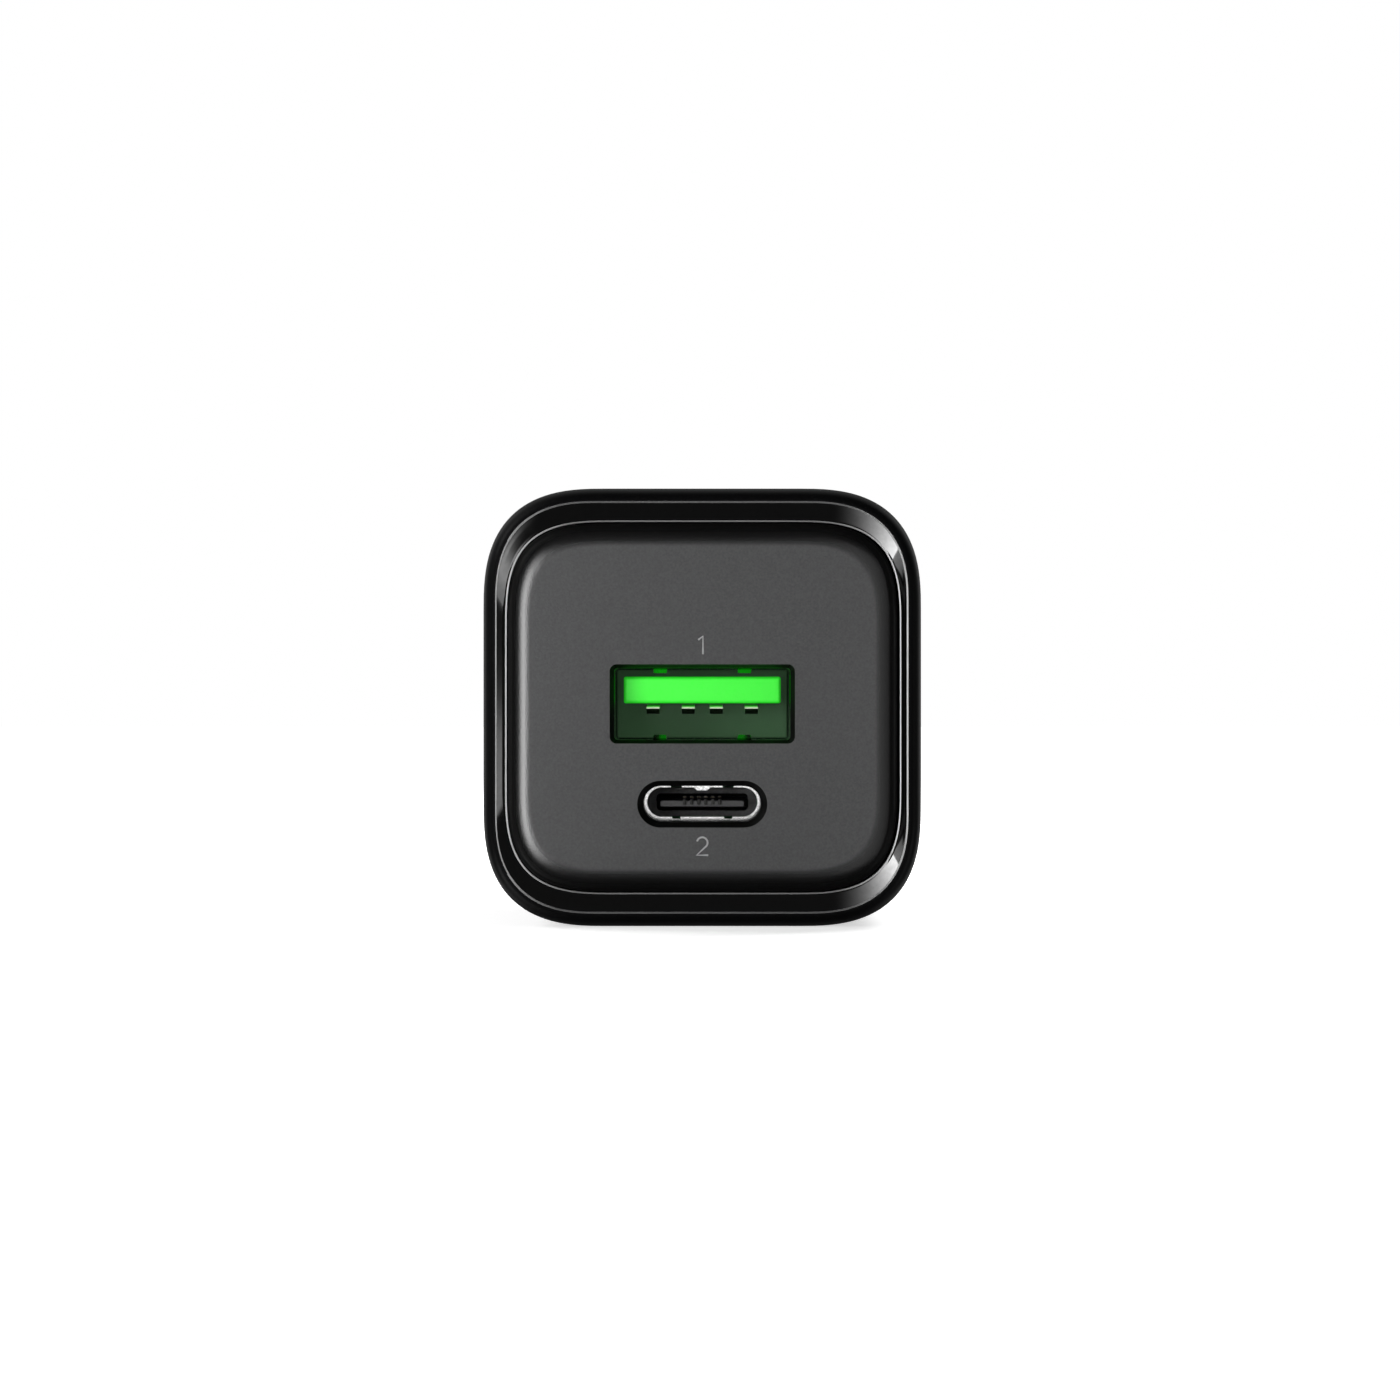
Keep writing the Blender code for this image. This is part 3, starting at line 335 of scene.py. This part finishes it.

# Front panel: a separate dark grey moulding with a fine matte texture, pillow-shaped, pressed in
# from the front against the shell's ledge. Its rolled edge is painted darker towards the ring,
# painted shade, and the two port mouths narrow behind the face to the size of the connectors.
roll_height, roll_width = 0.58, 1.6
roll_start, roll_steps, black_steps = 0.18, 20, 8
panel_grey, face = finish("panel_grey", Specular_IOR_Level=0.5, Roughness=0.2)
crown = FRONT + (ring_depth - roll_height) * MM
# Painted shade: the roll is painted darker the deeper it falls back towards the ring.
roll_painted_shade = graded(
    face, (coordinate(face, 1) - crown) * (1 / (roll_height * MM)),
    (0.001, grey(1.0)), (0.008, grey(0.70)), (0.018, grey(0.40)), (0.037, grey(0.20)),
    (0.066, grey(0.10)), (0.3, grey(0.05)),
)
face_grain = speckle(face, 7500)
grain_shade = graded(
    face, face_grain, (0.3, (0.055, 0.055, 0.056)), (0.7, (0.070, 0.070, 0.071)),
)
face_shade = face.node(
    "ShaderNodeMix", {"data_type": "RGBA", "blend_type": "MULTIPLY"},
    {"Factor": 1.0, 6: grain_shade, 7: roll_painted_shade}, 2,
)
feed(face, Base_Color=face_shade, Normal=relief(face, face_grain, 0.3))
# The outer half of the roll is a near-black copy of the grey moulding, painted shade.
roll_painted_black = moulded(
    "roll_painted_black", grey(0.0025), grey(0.0045), 0.35, 7500, 0.3, Specular_IOR_Level=0.1,
)
# The mouths' walls, the lower port's slot and its tongue behind the nose are painted near black,
# painted shade in the openings.
mouth_painted_black = moulded(
    "mouth_painted_black", grey(0.002), grey(0.004), 0.5, 5000, 0.1, Specular_IOR_Level=0.06,
)
FACE, MOUTH, ROLL = range(3)
panel = (13.79, 13.02, 7.68, 3.14)
panel_back, panel_hollow = 2.3, 1.72
usb_a_rise = 0.24
usb_a_mouth = (6.55, 2.8, 0.5, 2.0)
usb_a_inside = (6.25, 2.56, 0.3, 2.0)
usb_c_rise = -6.84
usb_c_mouth = (4.6, 1.655, 1.65, 2.0)
usb_c_inside = (4.17, 1.28, 1.275, 2.0)
mouth_depth, throat_depth = 0.35, 0.8


def cut(bm, tool):
    """Cut a tool's form out of a mesh with a Boolean modifier."""
    made = []
    for part in (bm, tool):
        mesh = bpy.data.meshes.new("blank")
        part.to_mesh(mesh)
        part.free()
        for number in range(4):
            mesh.materials.append(None)
        made.append(bpy.data.objects.new("blank", mesh))
        bpy.context.scene.collection.objects.link(made[-1])
    boolean = made[0].modifiers.new("cut", "BOOLEAN")
    boolean.operation = "DIFFERENCE"
    boolean.solver = "EXACT"
    boolean.object = made[1]
    shaped = made[0].evaluated_get(bpy.context.evaluated_depsgraph_get())
    result = bmesh.new()
    result.from_mesh(shaped.to_mesh())
    shaped.to_mesh_clear()
    for blank in made:
        bpy.data.objects.remove(blank)
    return result


panel_stations = [
    (panel_hollow, *inset(panel, 1.7), FACE), (panel_back, *inset(panel, 1.6), FACE),
    (panel_back, *panel, FACE), (0.74, *panel, ROLL),
    (0.66, *inset(panel, 0.02), ROLL), (0.595, *inset(panel, 0.13), ROLL),
]
for step in range(1, roll_steps + 1):
    turn = math.pi / 2 * (roll_start + (1 - roll_start) * step / roll_steps)
    depth = ring_depth - roll_height * math.sin(turn)
    section = inset(panel, 0.1 + roll_width * (1 - math.cos(turn)))
    panel_stations.append((depth, *section, ROLL if step < black_steps else FACE))
panel_form = sleeve(panel_stations, 28, caps=True)
for rise, mouth, inside in (
    (usb_a_rise, usb_a_mouth, usb_a_inside), (usb_c_rise, usb_c_mouth, usb_c_inside),
):
    tool = [
        (-1.0, *mouth, MOUTH), (mouth_depth, *mouth, MOUTH),
        (throat_depth, *inside, MOUTH), (4.0, *inside, MOUTH),
    ]
    panel_form = cut(panel_form, sleeve(tool, 10, rise, caps=True))
piece(
    "panel_moulding", panel_form, [panel_grey, mouth_painted_black, roll_painted_black],
    "housing", "matte_grey", "front_panel",
)

# Rear cover: a black plate let into the back of the shell, with two channels moulded on its inside
# for the folded blades, bearings for the rotor, and a finger hollow under the blades' tips.
cover_black = moulded(
    "cover_black", (0.012, 0.012, 0.0125), (0.019, 0.019, 0.0195), 0.42, 8000, 0.35,
    Specular_IOR_Level=0.4,
)


def softened(node, width, segments=2):
    """A copy of a CAD node's mesh with its sharp edges rounded."""
    bm = bmesh.new()
    bm.from_mesh(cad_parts[node].data)
    bmesh.ops.remove_doubles(bm, verts=bm.verts, dist=0.001 * MM)
    bmesh.ops.dissolve_limit(bm, angle_limit=math.radians(1), verts=bm.verts, edges=bm.edges)
    whole = [edge for edge in bm.edges if len(edge.link_faces) == 2]
    sharp = [edge for edge in whole if edge.calc_face_angle() > math.radians(35)]
    bmesh.ops.bevel(
        bm, geom=sharp, offset=width * MM, offset_type="OFFSET", affect="EDGES", segments=segments,
        profile=0.5, material=-1, clamp_overlap=True,
    )
    return bm


piece(
    "cover_moulding", softened("rear_cover", 0.08), [cover_black],
    "housing", "gloss_black", "rear_cover", flats=True,
)

# Folding plug: two stamped brass blades, nickel plated, moulded into a black rotor that turns
# between the cover's bearings and the retainer. A leaf spring holds it folded in or out.
rotor_black = moulded("rotor_black", grey(0.014), grey(0.021), 0.4, 6000, 0.3)


def plated(name, dark, light, roughness, along, bump=0.08, metallic=1.0):
    """Plated or bare metal with fine drawing marks along one axis."""
    material, wire = finish(name, Metallic=metallic)
    marks = speckle(wire, 900, along)
    clouds = speckle(wire, 400)
    feed(
        wire, Base_Color=graded(wire, clouds, (0.25, dark), (0.75, light)),
        Roughness=(marks - 0.5) * 0.14 + roughness, Normal=relief(wire, marks, bump, 0.01),
    )
    return material


blade_nickel = plated(
    "blade_nickel", (0.68, 0.66, 0.62), (0.78, 0.76, 0.72), 0.32, (16, 0.8, 16), metallic=0.7,
)
spring_nickel = plated("spring_nickel", (0.60, 0.58, 0.54), (0.72, 0.70, 0.66), 0.3, (1, 6, 6))
piece(
    "rotor_moulding", softened("plug_rotor", 0.06), [rotor_black],
    "plug", "satin_black", "plug_rotor", flats=True,
)
for side in ("left", "right"):
    piece(
        f"plug_blade_{side}", softened(f"blade_{side}", 0.18, 3), [blade_nickel],
        "plug", "nickel_brass", f"blade_{side}", flats=True,
    )


def dress(paint, *nodes):
    """Give CAD nodes whose shape is right their finish."""
    for node in nodes:
        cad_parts[node].data.materials.clear()
        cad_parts[node].data.materials.append(paint)


dress(rotor_black, "rotor_retainer")
dress(spring_nickel, "detent_spring", "ac_contact_left", "ac_contact_right")

# Boards: green glass laminate under a thin solder mask, one flat on the shell's ribs and one
# upright behind the ports, with a pale film that keeps them off the shell.
board_green, mask = finish("board_green", Specular_IOR_Level=0.5)
weave = mask.node(
    "ShaderNodeTexBrick", {"offset": 0.5},
    {
        "Vector": mask.node("ShaderNodeTexCoord", {}, {}, "Object"), "Scale": 900.0,
        "Color1": (0.016, 0.10, 0.035, 1), "Color2": (0.02, 0.12, 0.04, 1),
        "Mortar": (0.03, 0.16, 0.06, 1), "Mortar Size": 0.04,
    },
)
feed(mask, Base_Color=weave, Roughness=speckle(mask, 3000) * 0.2 + 0.25)
film_pale = moulded("film_pale", (0.70, 0.70, 0.64), (0.78, 0.78, 0.72), 0.4, 2500, 0.1)
dress(board_green, "main_board", "port_board")
dress(film_pale, "insulation_sheet", "optocoupler")

# Transformer: two grey-black ferrite halves round a moulded bobbin, whose copper winding is
# wrapped in yellow polyester tape. The choke's core is of the same ferrite.
ferrite_grey = moulded(
    "ferrite_grey", (0.022, 0.022, 0.024), (0.045, 0.045, 0.047), 0.6, 5000, 0.5,
)
bobbin_black = moulded("bobbin_black", grey(0.012), grey(0.02), 0.45, 4000, 0.2)
tape_yellow = moulded("tape_yellow", (0.62, 0.40, 0.03), (0.74, 0.50, 0.05), 0.3, 1500, 0.15)
dress(ferrite_grey, "transformer_core_upper", "transformer_core_lower", "choke_core")
dress(bobbin_black, "transformer_bobbin")
dress(tape_yellow, "transformer_winding")

# Parts on the boards: sleeved bulk capacitors, bare aluminium output capacitors, a blue dipped
# capacitor, a choke wound with enamelled copper, a fuse in a brown sleeve, and moulded chips.
sleeve_blue = moulded(
    "sleeve_blue", (0.010, 0.014, 0.035), (0.016, 0.022, 0.05), 0.35, 3000, 0.15,
)
can_metal = plated("can_metal", (0.62, 0.62, 0.63), (0.72, 0.72, 0.73), 0.32, (6, 6, 0.6))
dipped_blue = moulded("dipped_blue", (0.02, 0.09, 0.28), (0.03, 0.12, 0.36), 0.4, 2500, 0.4)
chip_black = moulded("chip_black", grey(0.010), grey(0.018), 0.55, 6000, 0.4)
fuse_brown = moulded("fuse_brown", (0.12, 0.055, 0.02), (0.17, 0.08, 0.03), 0.4, 2500, 0.2)
wire_copper, copper = finish("wire_copper", Metallic=1.0, Roughness=0.3)
strands = copper.node(
    "ShaderNodeTexWave", {"bands_direction": "Z"},
    {
        "Vector": copper.node("ShaderNodeTexCoord", {}, {}, "Object"),
        "Scale": 900.0, "Distortion": 0.4,
    },
    "Fac",
)
feed(
    copper, Normal=relief(copper, strands, 0.8, 0.1),
    Base_Color=graded(copper, strands, (0.0, (0.20, 0.06, 0.02)), (0.8, (0.62, 0.24, 0.08))),
)
dress(sleeve_blue, "bulk_capacitor_1", "bulk_capacitor_2")
dress(can_metal, "output_capacitor_1", "output_capacitor_2")
dress(dipped_blue, "y_capacitor")
dress(wire_copper, "choke_winding")
dress(fuse_brown, "fuse")
dress(chip_black, "bridge_rectifier", "controller_ic", "sync_rectifier", "pd_controller_ic")

# USB-A port: a folded steel shell with four spring tabs, whose walls are painted dark as painted
# shade inside the port while the tabs stay bright steel; a green moulding whose tongue stands in
# the upper half, with a painted glow and painted shade; and four plated contacts that hang under
# the tongue, painted with a green reflection, a pale highlight and black shade.
tab_reach, tab_rise = 6.0, 2.45
steel_bright, steel = finish("steel_bright", Metallic=1.0, Roughness=0.25)
# Painted shade: the shell's walls are painted dark; the tabs, inside this box, keep bright steel.
tab_across = abs(coordinate(steel, 0)) < tab_reach * MM
tab_up = abs(coordinate(steel, 2) - (MIDDLE + usb_a_rise * MM)) < tab_rise * MM
tab_bright_wall_shade = tab_across * tab_up * 0.7 + speckle(steel, 900, (6, 0.6, 6)) * 0.3
steel_painted_shade = graded(
    steel, tab_bright_wall_shade, (0.0, grey(0.2)), (0.3, grey(0.28)), (0.8, (0.95, 0.95, 0.94)),
)
feed(steel, Base_Color=steel_painted_shade)
# The contacts are painted down their drop below the tongue: a green painted reflection of the
# tongue, a pale painted highlight on the bend and black painted shade at the tip.
contact_top, contact_drop = 0.28, 0.46
contact_painted_light, leaf = finish("contact_painted_light", Roughness=0.3)
leaf_drop = (MIDDLE + contact_top * MM - coordinate(leaf, 2)) * (1 / (contact_drop * MM))
painted_green_reflection, painted_bend_highlight, painted_tip_shade = (0.25, 0.80, 0.20), (0.95, 1.0, 0.80), (0.004, 0.006, 0.004)
leaf_painted_light = graded(
    leaf, leaf_drop + (speckle(leaf, 6000) - 0.5) * 0.05,
    (0.2, painted_green_reflection), (0.60, painted_green_reflection), (0.66, painted_bend_highlight), (0.78, painted_bend_highlight), (0.82, painted_tip_shade),
)
feed(leaf, Base_Color=leaf_painted_light)
tongue_depth, tongue_length = 2.4, 9.0
# Painted light: the tongue glows a little, and the moulding is painted darker the deeper it lies
# in the port, painted shade.
tongue_green, tongue_glow = finish(
    "tongue_green", Roughness=0.4, Specular_IOR_Level=0.3, Emission_Strength=0.16,
)
tongue_shade_depth = (coordinate(tongue_glow, 1) - (FRONT + tongue_depth * MM)) * (1 / (tongue_length * MM))
tongue_painted_light = graded(
    tongue_glow, tongue_shade_depth + (speckle(tongue_glow, 5000) - 0.5) * 0.01,
    (0.0, (0.065, 1.0, 0.06)), (0.012, (0.03, 0.95, 0.03)), (0.05, (0.015, 0.85, 0.015)),
    (0.45, (0.016, 0.85, 0.018)), (0.9, (0.062, 0.135, 0.066)),
)
feed(tongue_glow, Base_Color=tongue_painted_light, Emission_Color=tongue_painted_light)
piece(
    "port_a_shell", softened("usb_a_shell", 0.05), [steel_bright],
    "housing", "bright_steel", "usb_a_shell",
)
piece(
    "port_a_tongue", softened("usb_a_insulator", 0.12, 3), [tongue_green],
    "housing", "green_plastic", "usb_a_insulator",
)
dress(contact_painted_light, *[f"usb_a_contact_{number}" for number in (1, 2, 3, 4)])

# USB-C port: a drawn steel shell of pill section with a stop ring deep inside, a dark moulded core
# with a slot round its tongue, and a row of contacts on the tongue's upper face. Core and tongue
# are two copies of one moulding: the deep core is painted paler, painted light, and the nose
# darker.
shell_c_steel = plated(
    "shell_c_steel", grey(0.80), (0.92, 0.92, 0.91), 0.10, (6, 0.6, 6), 0.01,
)
# Lit and shaded copies of one moulding: the core deep in the port is painted paler than the nose.
core_painted_lit = moulded("core_painted_lit", (0.055, 0.055, 0.056), (0.085, 0.085, 0.086), 0.45, 6000, 0.2)
tongue_painted_dark = moulded("tongue_painted_dark", (0.018, 0.018, 0.019), (0.028, 0.028, 0.029), 0.45, 6000, 0.2)
# The gold contacts are painted near black, painted shade deep in the slot.
contact_gold_painted_dark = plated("contact_gold_painted_dark", (0.05, 0.045, 0.036), (0.07, 0.063, 0.05), 0.4, (6, 0.6, 6))
tip_grey = plated("tip_grey", grey(0.020), (0.035, 0.035, 0.034), 0.5, (6, 0.6, 6))
CORE, SLOT, NOSE, TIP = range(4)
usb_c_outside = (4.47, 1.58, 1.575, 2.0)
stop_opening = (3.97, 1.065, 1.06, 2.0)
core_section = (3.90, 1.0, 0.9, 2.0)
slot_section = (3.30, 0.62, 0.3, 2.0)
nose_front = (2.94, 0.19, 0.12, 2.0)
nose_section = (2.98, 0.23, 0.14, 2.0)
neck_section = (3.02, 0.24, 0.14, 2.0)
tongue_section = (3.25, 0.35, 0.15, 2.0)
port_front, port_back, stop_depth = 1.9, 13.1, 8.6
notch_start, notch_end, notch_place = 8.5, 14.0, 1.87
tip_pitch, tip_half = 0.5, 0.13


def block(low, high):
    """A plain block between two corners, in mm from the middle of the lower port's mouth."""
    bm = bmesh.new()
    bmesh.ops.create_cube(bm, size=1.0)
    size = [b - a for a, b in zip(low, high)]
    place = [(a + b) / 2 for a, b in zip(low, high)]
    centre = (place[0] * MM, FRONT + place[1] * MM, MIDDLE + (usb_c_rise + place[2]) * MM)
    bmesh.ops.scale(bm, vec=[v * MM for v in size], verts=bm.verts)
    bmesh.ops.translate(bm, vec=centre, verts=bm.verts)
    return bm


def bar(section, start, end, steps, paint=CORE):
    """A straight bar of one section in the lower port, from one depth to another."""
    return sleeve(
        [(start, *section, paint), (end, *section, paint)], steps, usb_c_rise, caps=True
    )


def join(bm, part, paint=None):
    """Add one mesh to another, in a paint of its own where one is given."""
    if paint is not None:
        for side in part.faces:
            side.material_index = paint
    blank = bpy.data.meshes.new("blank")
    part.to_mesh(blank)
    part.free()
    bm.from_mesh(blank)
    bpy.data.meshes.remove(blank)


drawn_stations = [
    (port_front - 0.04, *inset(usb_c_outside, 0.04), 0),
    (port_front, *usb_c_outside, 0), (port_back, *usb_c_outside, 0),
]
bore_stations = [
    (1.0, *inset(usb_c_inside, -0.05), 0),
    (port_front, *usb_c_inside, 0), (stop_depth, *usb_c_inside, 0),
]
port_c = sleeve(drawn_stations, 12, usb_c_rise, caps=True)
port_c = cut(port_c, sleeve(bore_stations, 12, usb_c_rise, caps=True))
key = block((-0.95, 7.0, 0.85), (0.95, 15.0, 1.4))
for vert in key.verts:
    if vert.co.z < MIDDLE + (usb_c_rise + 1.0) * MM:
        vert.co.x *= 0.38
port_c = cut(port_c, cut(bar(stop_opening, 8.0, 14.0, 12), key))
for x in (-notch_place, notch_place):
    for half, low, high in ((0.30, -1.2, -0.9), (0.40, 1.0, 1.27)):
        notch = block((x - half, notch_start, low), (x + half, notch_end, high))
        port_c = cut(port_c, notch)
piece("port_c_shell", port_c, [shell_c_steel], "housing", "bright_steel", "usb_c_shell")
core = cut(bar(core_section, 8.9, 13.0, 8), bar(slot_section, 8.0, 12.4, 6, SLOT))
# Behind its nose the tongue takes the near-black mouth paint, painted shade in the slot.
tongue_stations = [
    (2.4, *nose_front, NOSE), (2.44, *nose_section, NOSE),
    (2.9, *neck_section, SLOT), (3.5, *tongue_section, SLOT), (12.6, *tongue_section, SLOT),
]
join(core, sleeve(tongue_stations, 4, usb_c_rise, caps=True))
for number in range(6):
    x = (number - 2.5) * tip_pitch
    tip = block((x - tip_half, 2.35, -0.08), (x + tip_half, 3.4, 0.33))
    bmesh.ops.bevel(
        tip, geom=tip.edges[:], offset=0.04 * MM, affect="EDGES", segments=2, profile=0.5,
        material=-1,
    )
    join(core, tip, TIP)
piece(
    "port_c_core", core, [core_painted_lit, mouth_painted_black, tongue_painted_dark, tip_grey],
    "housing", "satin_black", "usb_c_insulator",
)
dress(contact_gold_painted_dark, *[f"usb_c_contact_{number}" for number in range(1, 7)])

# Port numbers: a plain figure over the upper port and another under the lower one, printed on the
# panel in thin pale grey ink.
ink_grey = moulded("ink_grey", grey(0.33), grey(0.40), 0.6, 5000, 0.1)
figure_half, stroke_half, ink_depth = 0.635, 0.065, 0.118
bow, bow_rise = 0.38, 0.255
bow_turns = (2.9, 2.4, 1.9, 1.4, 0.9, 0.4, 0.0, -0.4, -0.7)
figure_one = [(-0.28, 0.38), (0.05, figure_half), (0.05, -figure_half)]
figure_two = [(bow * math.cos(a), bow_rise + bow * math.sin(a)) for a in bow_turns]
figure_two += [(-0.4, -figure_half), (0.42, -figure_half)]
for name, strokes, rise in (("one", figure_one, 4.39), ("two", figure_two, -9.81)):
    pen = bpy.data.curves.new(f"figure_{name}", "CURVE")
    pen.dimensions = "3D"
    pen.bevel_depth = stroke_half * MM
    pen.bevel_resolution = 2
    pen.use_fill_caps = True
    line = pen.splines.new("POLY")
    line.points.add(len(strokes) - 1)
    for point, (x, z) in zip(line.points, strokes):
        point.co = (x * MM, 0.0, z * MM, 1.0)
    drawn = bpy.data.objects.new("blank", pen)
    bpy.context.scene.collection.objects.link(drawn)
    ink = bmesh.new()
    ink.from_mesh(drawn.evaluated_get(bpy.context.evaluated_depsgraph_get()).to_mesh())
    bpy.data.objects.remove(drawn)
    bmesh.ops.scale(ink, vec=(1.0, 0.25, 1.0), verts=ink.verts)
    place = (0.0, FRONT + ink_depth * MM, MIDDLE + rise * MM)
    bmesh.ops.translate(ink, vec=place, verts=ink.verts)
    piece(f"figure_{name}", ink, [ink_grey], "housing", "matte_grey")

# Studio: a white floor that keeps the charger's shadow, a small light on the left, a broad one in
# front and two behind, and a dark tent with pale cards that only reflections see, so that the
# gloss stays black between the cards.
scene = bpy.context.scene
scene.view_settings.view_transform = "Standard"
WHITE = (1.0, 1.0, 1.0, 1.0)
world = bpy.data.worlds.new("studio")
world.use_nodes = True
scene.world = world
sky = Wire(world.node_tree)
path = world.node_tree.nodes.new("ShaderNodeLightPath")
seen, mirrored, through = (
    Wire(sky.tree, path.outputs[f"Is {kind} Ray"]) for kind in ("Camera", "Glossy", "Transmission")
)
direct = sky.maths("MAXIMUM", sky.maths("MAXIMUM", seen, mirrored), through)
room_light = 0.18
background = world.node_tree.nodes["Background"]
background.inputs["Color"].default_value = WHITE
sky_strength = direct * (1 - room_light) + room_light
sky.tree.links.new(sky_strength.socket, background.inputs["Strength"])


def staged(name, bm, paint):
    """Put a mesh in the studio with an empty material, and return it with the material's Wire."""
    mesh = bpy.data.meshes.new(name)
    bm.to_mesh(mesh)
    bm.free()
    made = bpy.data.objects.new(name, mesh)
    scene.collection.objects.link(made)
    material = bpy.data.materials.new(paint)
    material.use_nodes = True
    material.node_tree.nodes.remove(material.node_tree.nodes["Principled BSDF"])
    mesh.materials.append(material)
    return made, Wire(material.node_tree)


def show(wire, shader):
    """Lead a shader to the surface."""
    wire.tree.links.new(shader.socket, wire.tree.nodes["Material Output"].inputs["Surface"])


floor_form = bmesh.new()
bmesh.ops.create_grid(floor_form, x_segments=1, y_segments=1, size=3.0)
floor, ground = staged("floor", floor_form, "floor_white")
near_glow, glow_start, glow_end = 0.6, 0.05, 0.16
ground_place = ground.node("ShaderNodeTexCoord", {}, {}, "Object")
away = ground.node("ShaderNodeVectorMath", {"operation": "LENGTH"}, {0: ground_place}, "Value")
ground_seen = ground.node("ShaderNodeLightPath", {}, {}, "Is Camera Ray")
ground_glow = ground_seen * ramp(away, glow_start, glow_end, near_glow, 1.0, "LINEAR")
matte = ground.node("ShaderNodeBsdfDiffuse", {}, {"Color": (*grey(0.8), 1.0)})
glow = ground.node("ShaderNodeEmission", {}, {"Color": WHITE, "Strength": ground_glow})
lit = ground.node("ShaderNodeAddShader", {}, {0: matte, 1: glow})
under = ground.node("ShaderNodeNewGeometry", {}, {}, "Backfacing")
clear = ground.node("ShaderNodeBsdfTransparent", {}, {})
show(ground, ground.node("ShaderNodeMixShader", {}, {0: under, 1: lit, 2: clear}))
floor.visible_glossy = False

# Places on the tent are shares of its radius, and a turn is an angle up or down from level.
tent_radius = 1.5
tent_form = bmesh.new()
bmesh.ops.create_icosphere(tent_form, subdivisions=4, radius=tent_radius)
tent, cloth = staged("tent", tent_form, "tent_cloth")
across, along, up = (coordinate(cloth, axis) * (1 / tent_radius) for axis in range(3))
sideways = abs(across)
height = abs(up)
off_axis = cloth.maths("SQRT", across * across + up * up)
turn = cloth.maths("ARCTAN2", height, sideways)
front = along < -0.05
left, right = across < 0.0, across > 0.0

# Two cards beside the lens: a bright one for the panel's left roll, a dim one for its right.
left_card = ramp(off_axis, 0.15, 0.24) * ramp(off_axis, 0.31, 0.47, 1.0, 0.0)
left_card = left_card * ramp(turn, 0.25, 1.0, 1.0, 0.0) * left * front * 15.0
right_card = ramp(across, 0.08, 0.6, 0.95, 0.4) * (across > 0.08)
right_card = right_card * (height < 0.35) * (off_axis < 0.65) * front
lens_glow = (along < -0.9985) * 2.3

# Cards at the tent's sides, for the sloping ring: bright ones on the left above and below, whose
# light falls off with the turn, and a weaker one on the lower right.
edge_on = ramp(off_axis + turn * 0.14, 0.88, 0.94) * front
card_edge = 0.40
left_edge = ramp(turn, card_edge, 1.47, 1.0, 0.0, "LINEAR") ** 1.8 * 5.7 * (turn > card_edge)
left_edge = left_edge + ramp(turn, 0.05, card_edge, 0.3, 0.85) * (turn < card_edge)
left_edge = left_edge * left * edge_on
right_edge = ramp(turn, 0.0, 0.2, 0.85, 1.4) * ramp(turn, 0.30, 1.12, 1.0, 0.0)
right_edge = right_edge * right * (up < 0.007) * edge_on

# Behind the charger: a soft sky and two upright strips.
rear_sky = ramp(along, -0.02, 0.2) * ramp(along, 0.75, 0.95, 1.0, 0.2)
rear_sky = rear_sky * ramp(up, -0.3, 0.9, 0.12, 0.6)
rear_strips = ramp(sideways, 0.42, 0.55) * ramp(sideways, 0.72, 0.85, 1.0, 0.0)
rear_strips = rear_strips * (along > 0.1) * 0.7
cloth_glow = left_card + right_card + left_edge + right_edge + lens_glow + front * 0.03
cloth_glow = cloth_glow + rear_sky + rear_strips
show(cloth, cloth.node("ShaderNodeEmission", {}, {"Color": WHITE, "Strength": cloth_glow}))
tent.visible_camera = False
tent.visible_diffuse = False
tent.visible_transmission = False
tent.visible_volume_scatter = False
tent.visible_shadow = False

# The lamps' places and sizes are in metres, and their power is in watts.
for name, place, power, size in (
    ("left_light", (-0.10, FRONT - 0.115, 0.018), 0.13, 0.05),
    ("fill_light", (0.0, -0.75, 0.05), 0.95, 0.30),
    ("back_light", (0.25, 0.42, 0.30), 3.5, 0.25),
    ("back_fill", (-0.38, 0.26, 0.22), 2.0, 0.25),
):
    lamp = bpy.data.lights.new(name, "AREA")
    lamp.energy = power
    lamp.size = size
    light = bpy.data.objects.new(name, lamp)
    aim = (Vector((0.0, FRONT, MIDDLE)) - Vector(place)).to_track_quat("-Z", "Y")
    light.matrix_world = Matrix.Translation(place) @ aim.to_matrix().to_4x4()
    light.visible_glossy = False
    scene.collection.objects.link(light)

# Camera: straight in front of the ports, at the height of the charger's middle, with a long lens.
lens_distance, lens_aside, lens_rise = 412.0, -0.16, 0.52
lens = bpy.data.cameras.new("camera")
lens.lens = 150.0
lens.sensor_width = 36.0
lens.clip_start = 0.01
camera = bpy.data.objects.new("camera", lens)
camera.location = (lens_aside * MM, FRONT - lens_distance * MM, MIDDLE + lens_rise * MM)
camera.rotation_euler = (math.pi / 2, 0.0, 0.0)
scene.collection.objects.link(camera)
scene.camera = camera
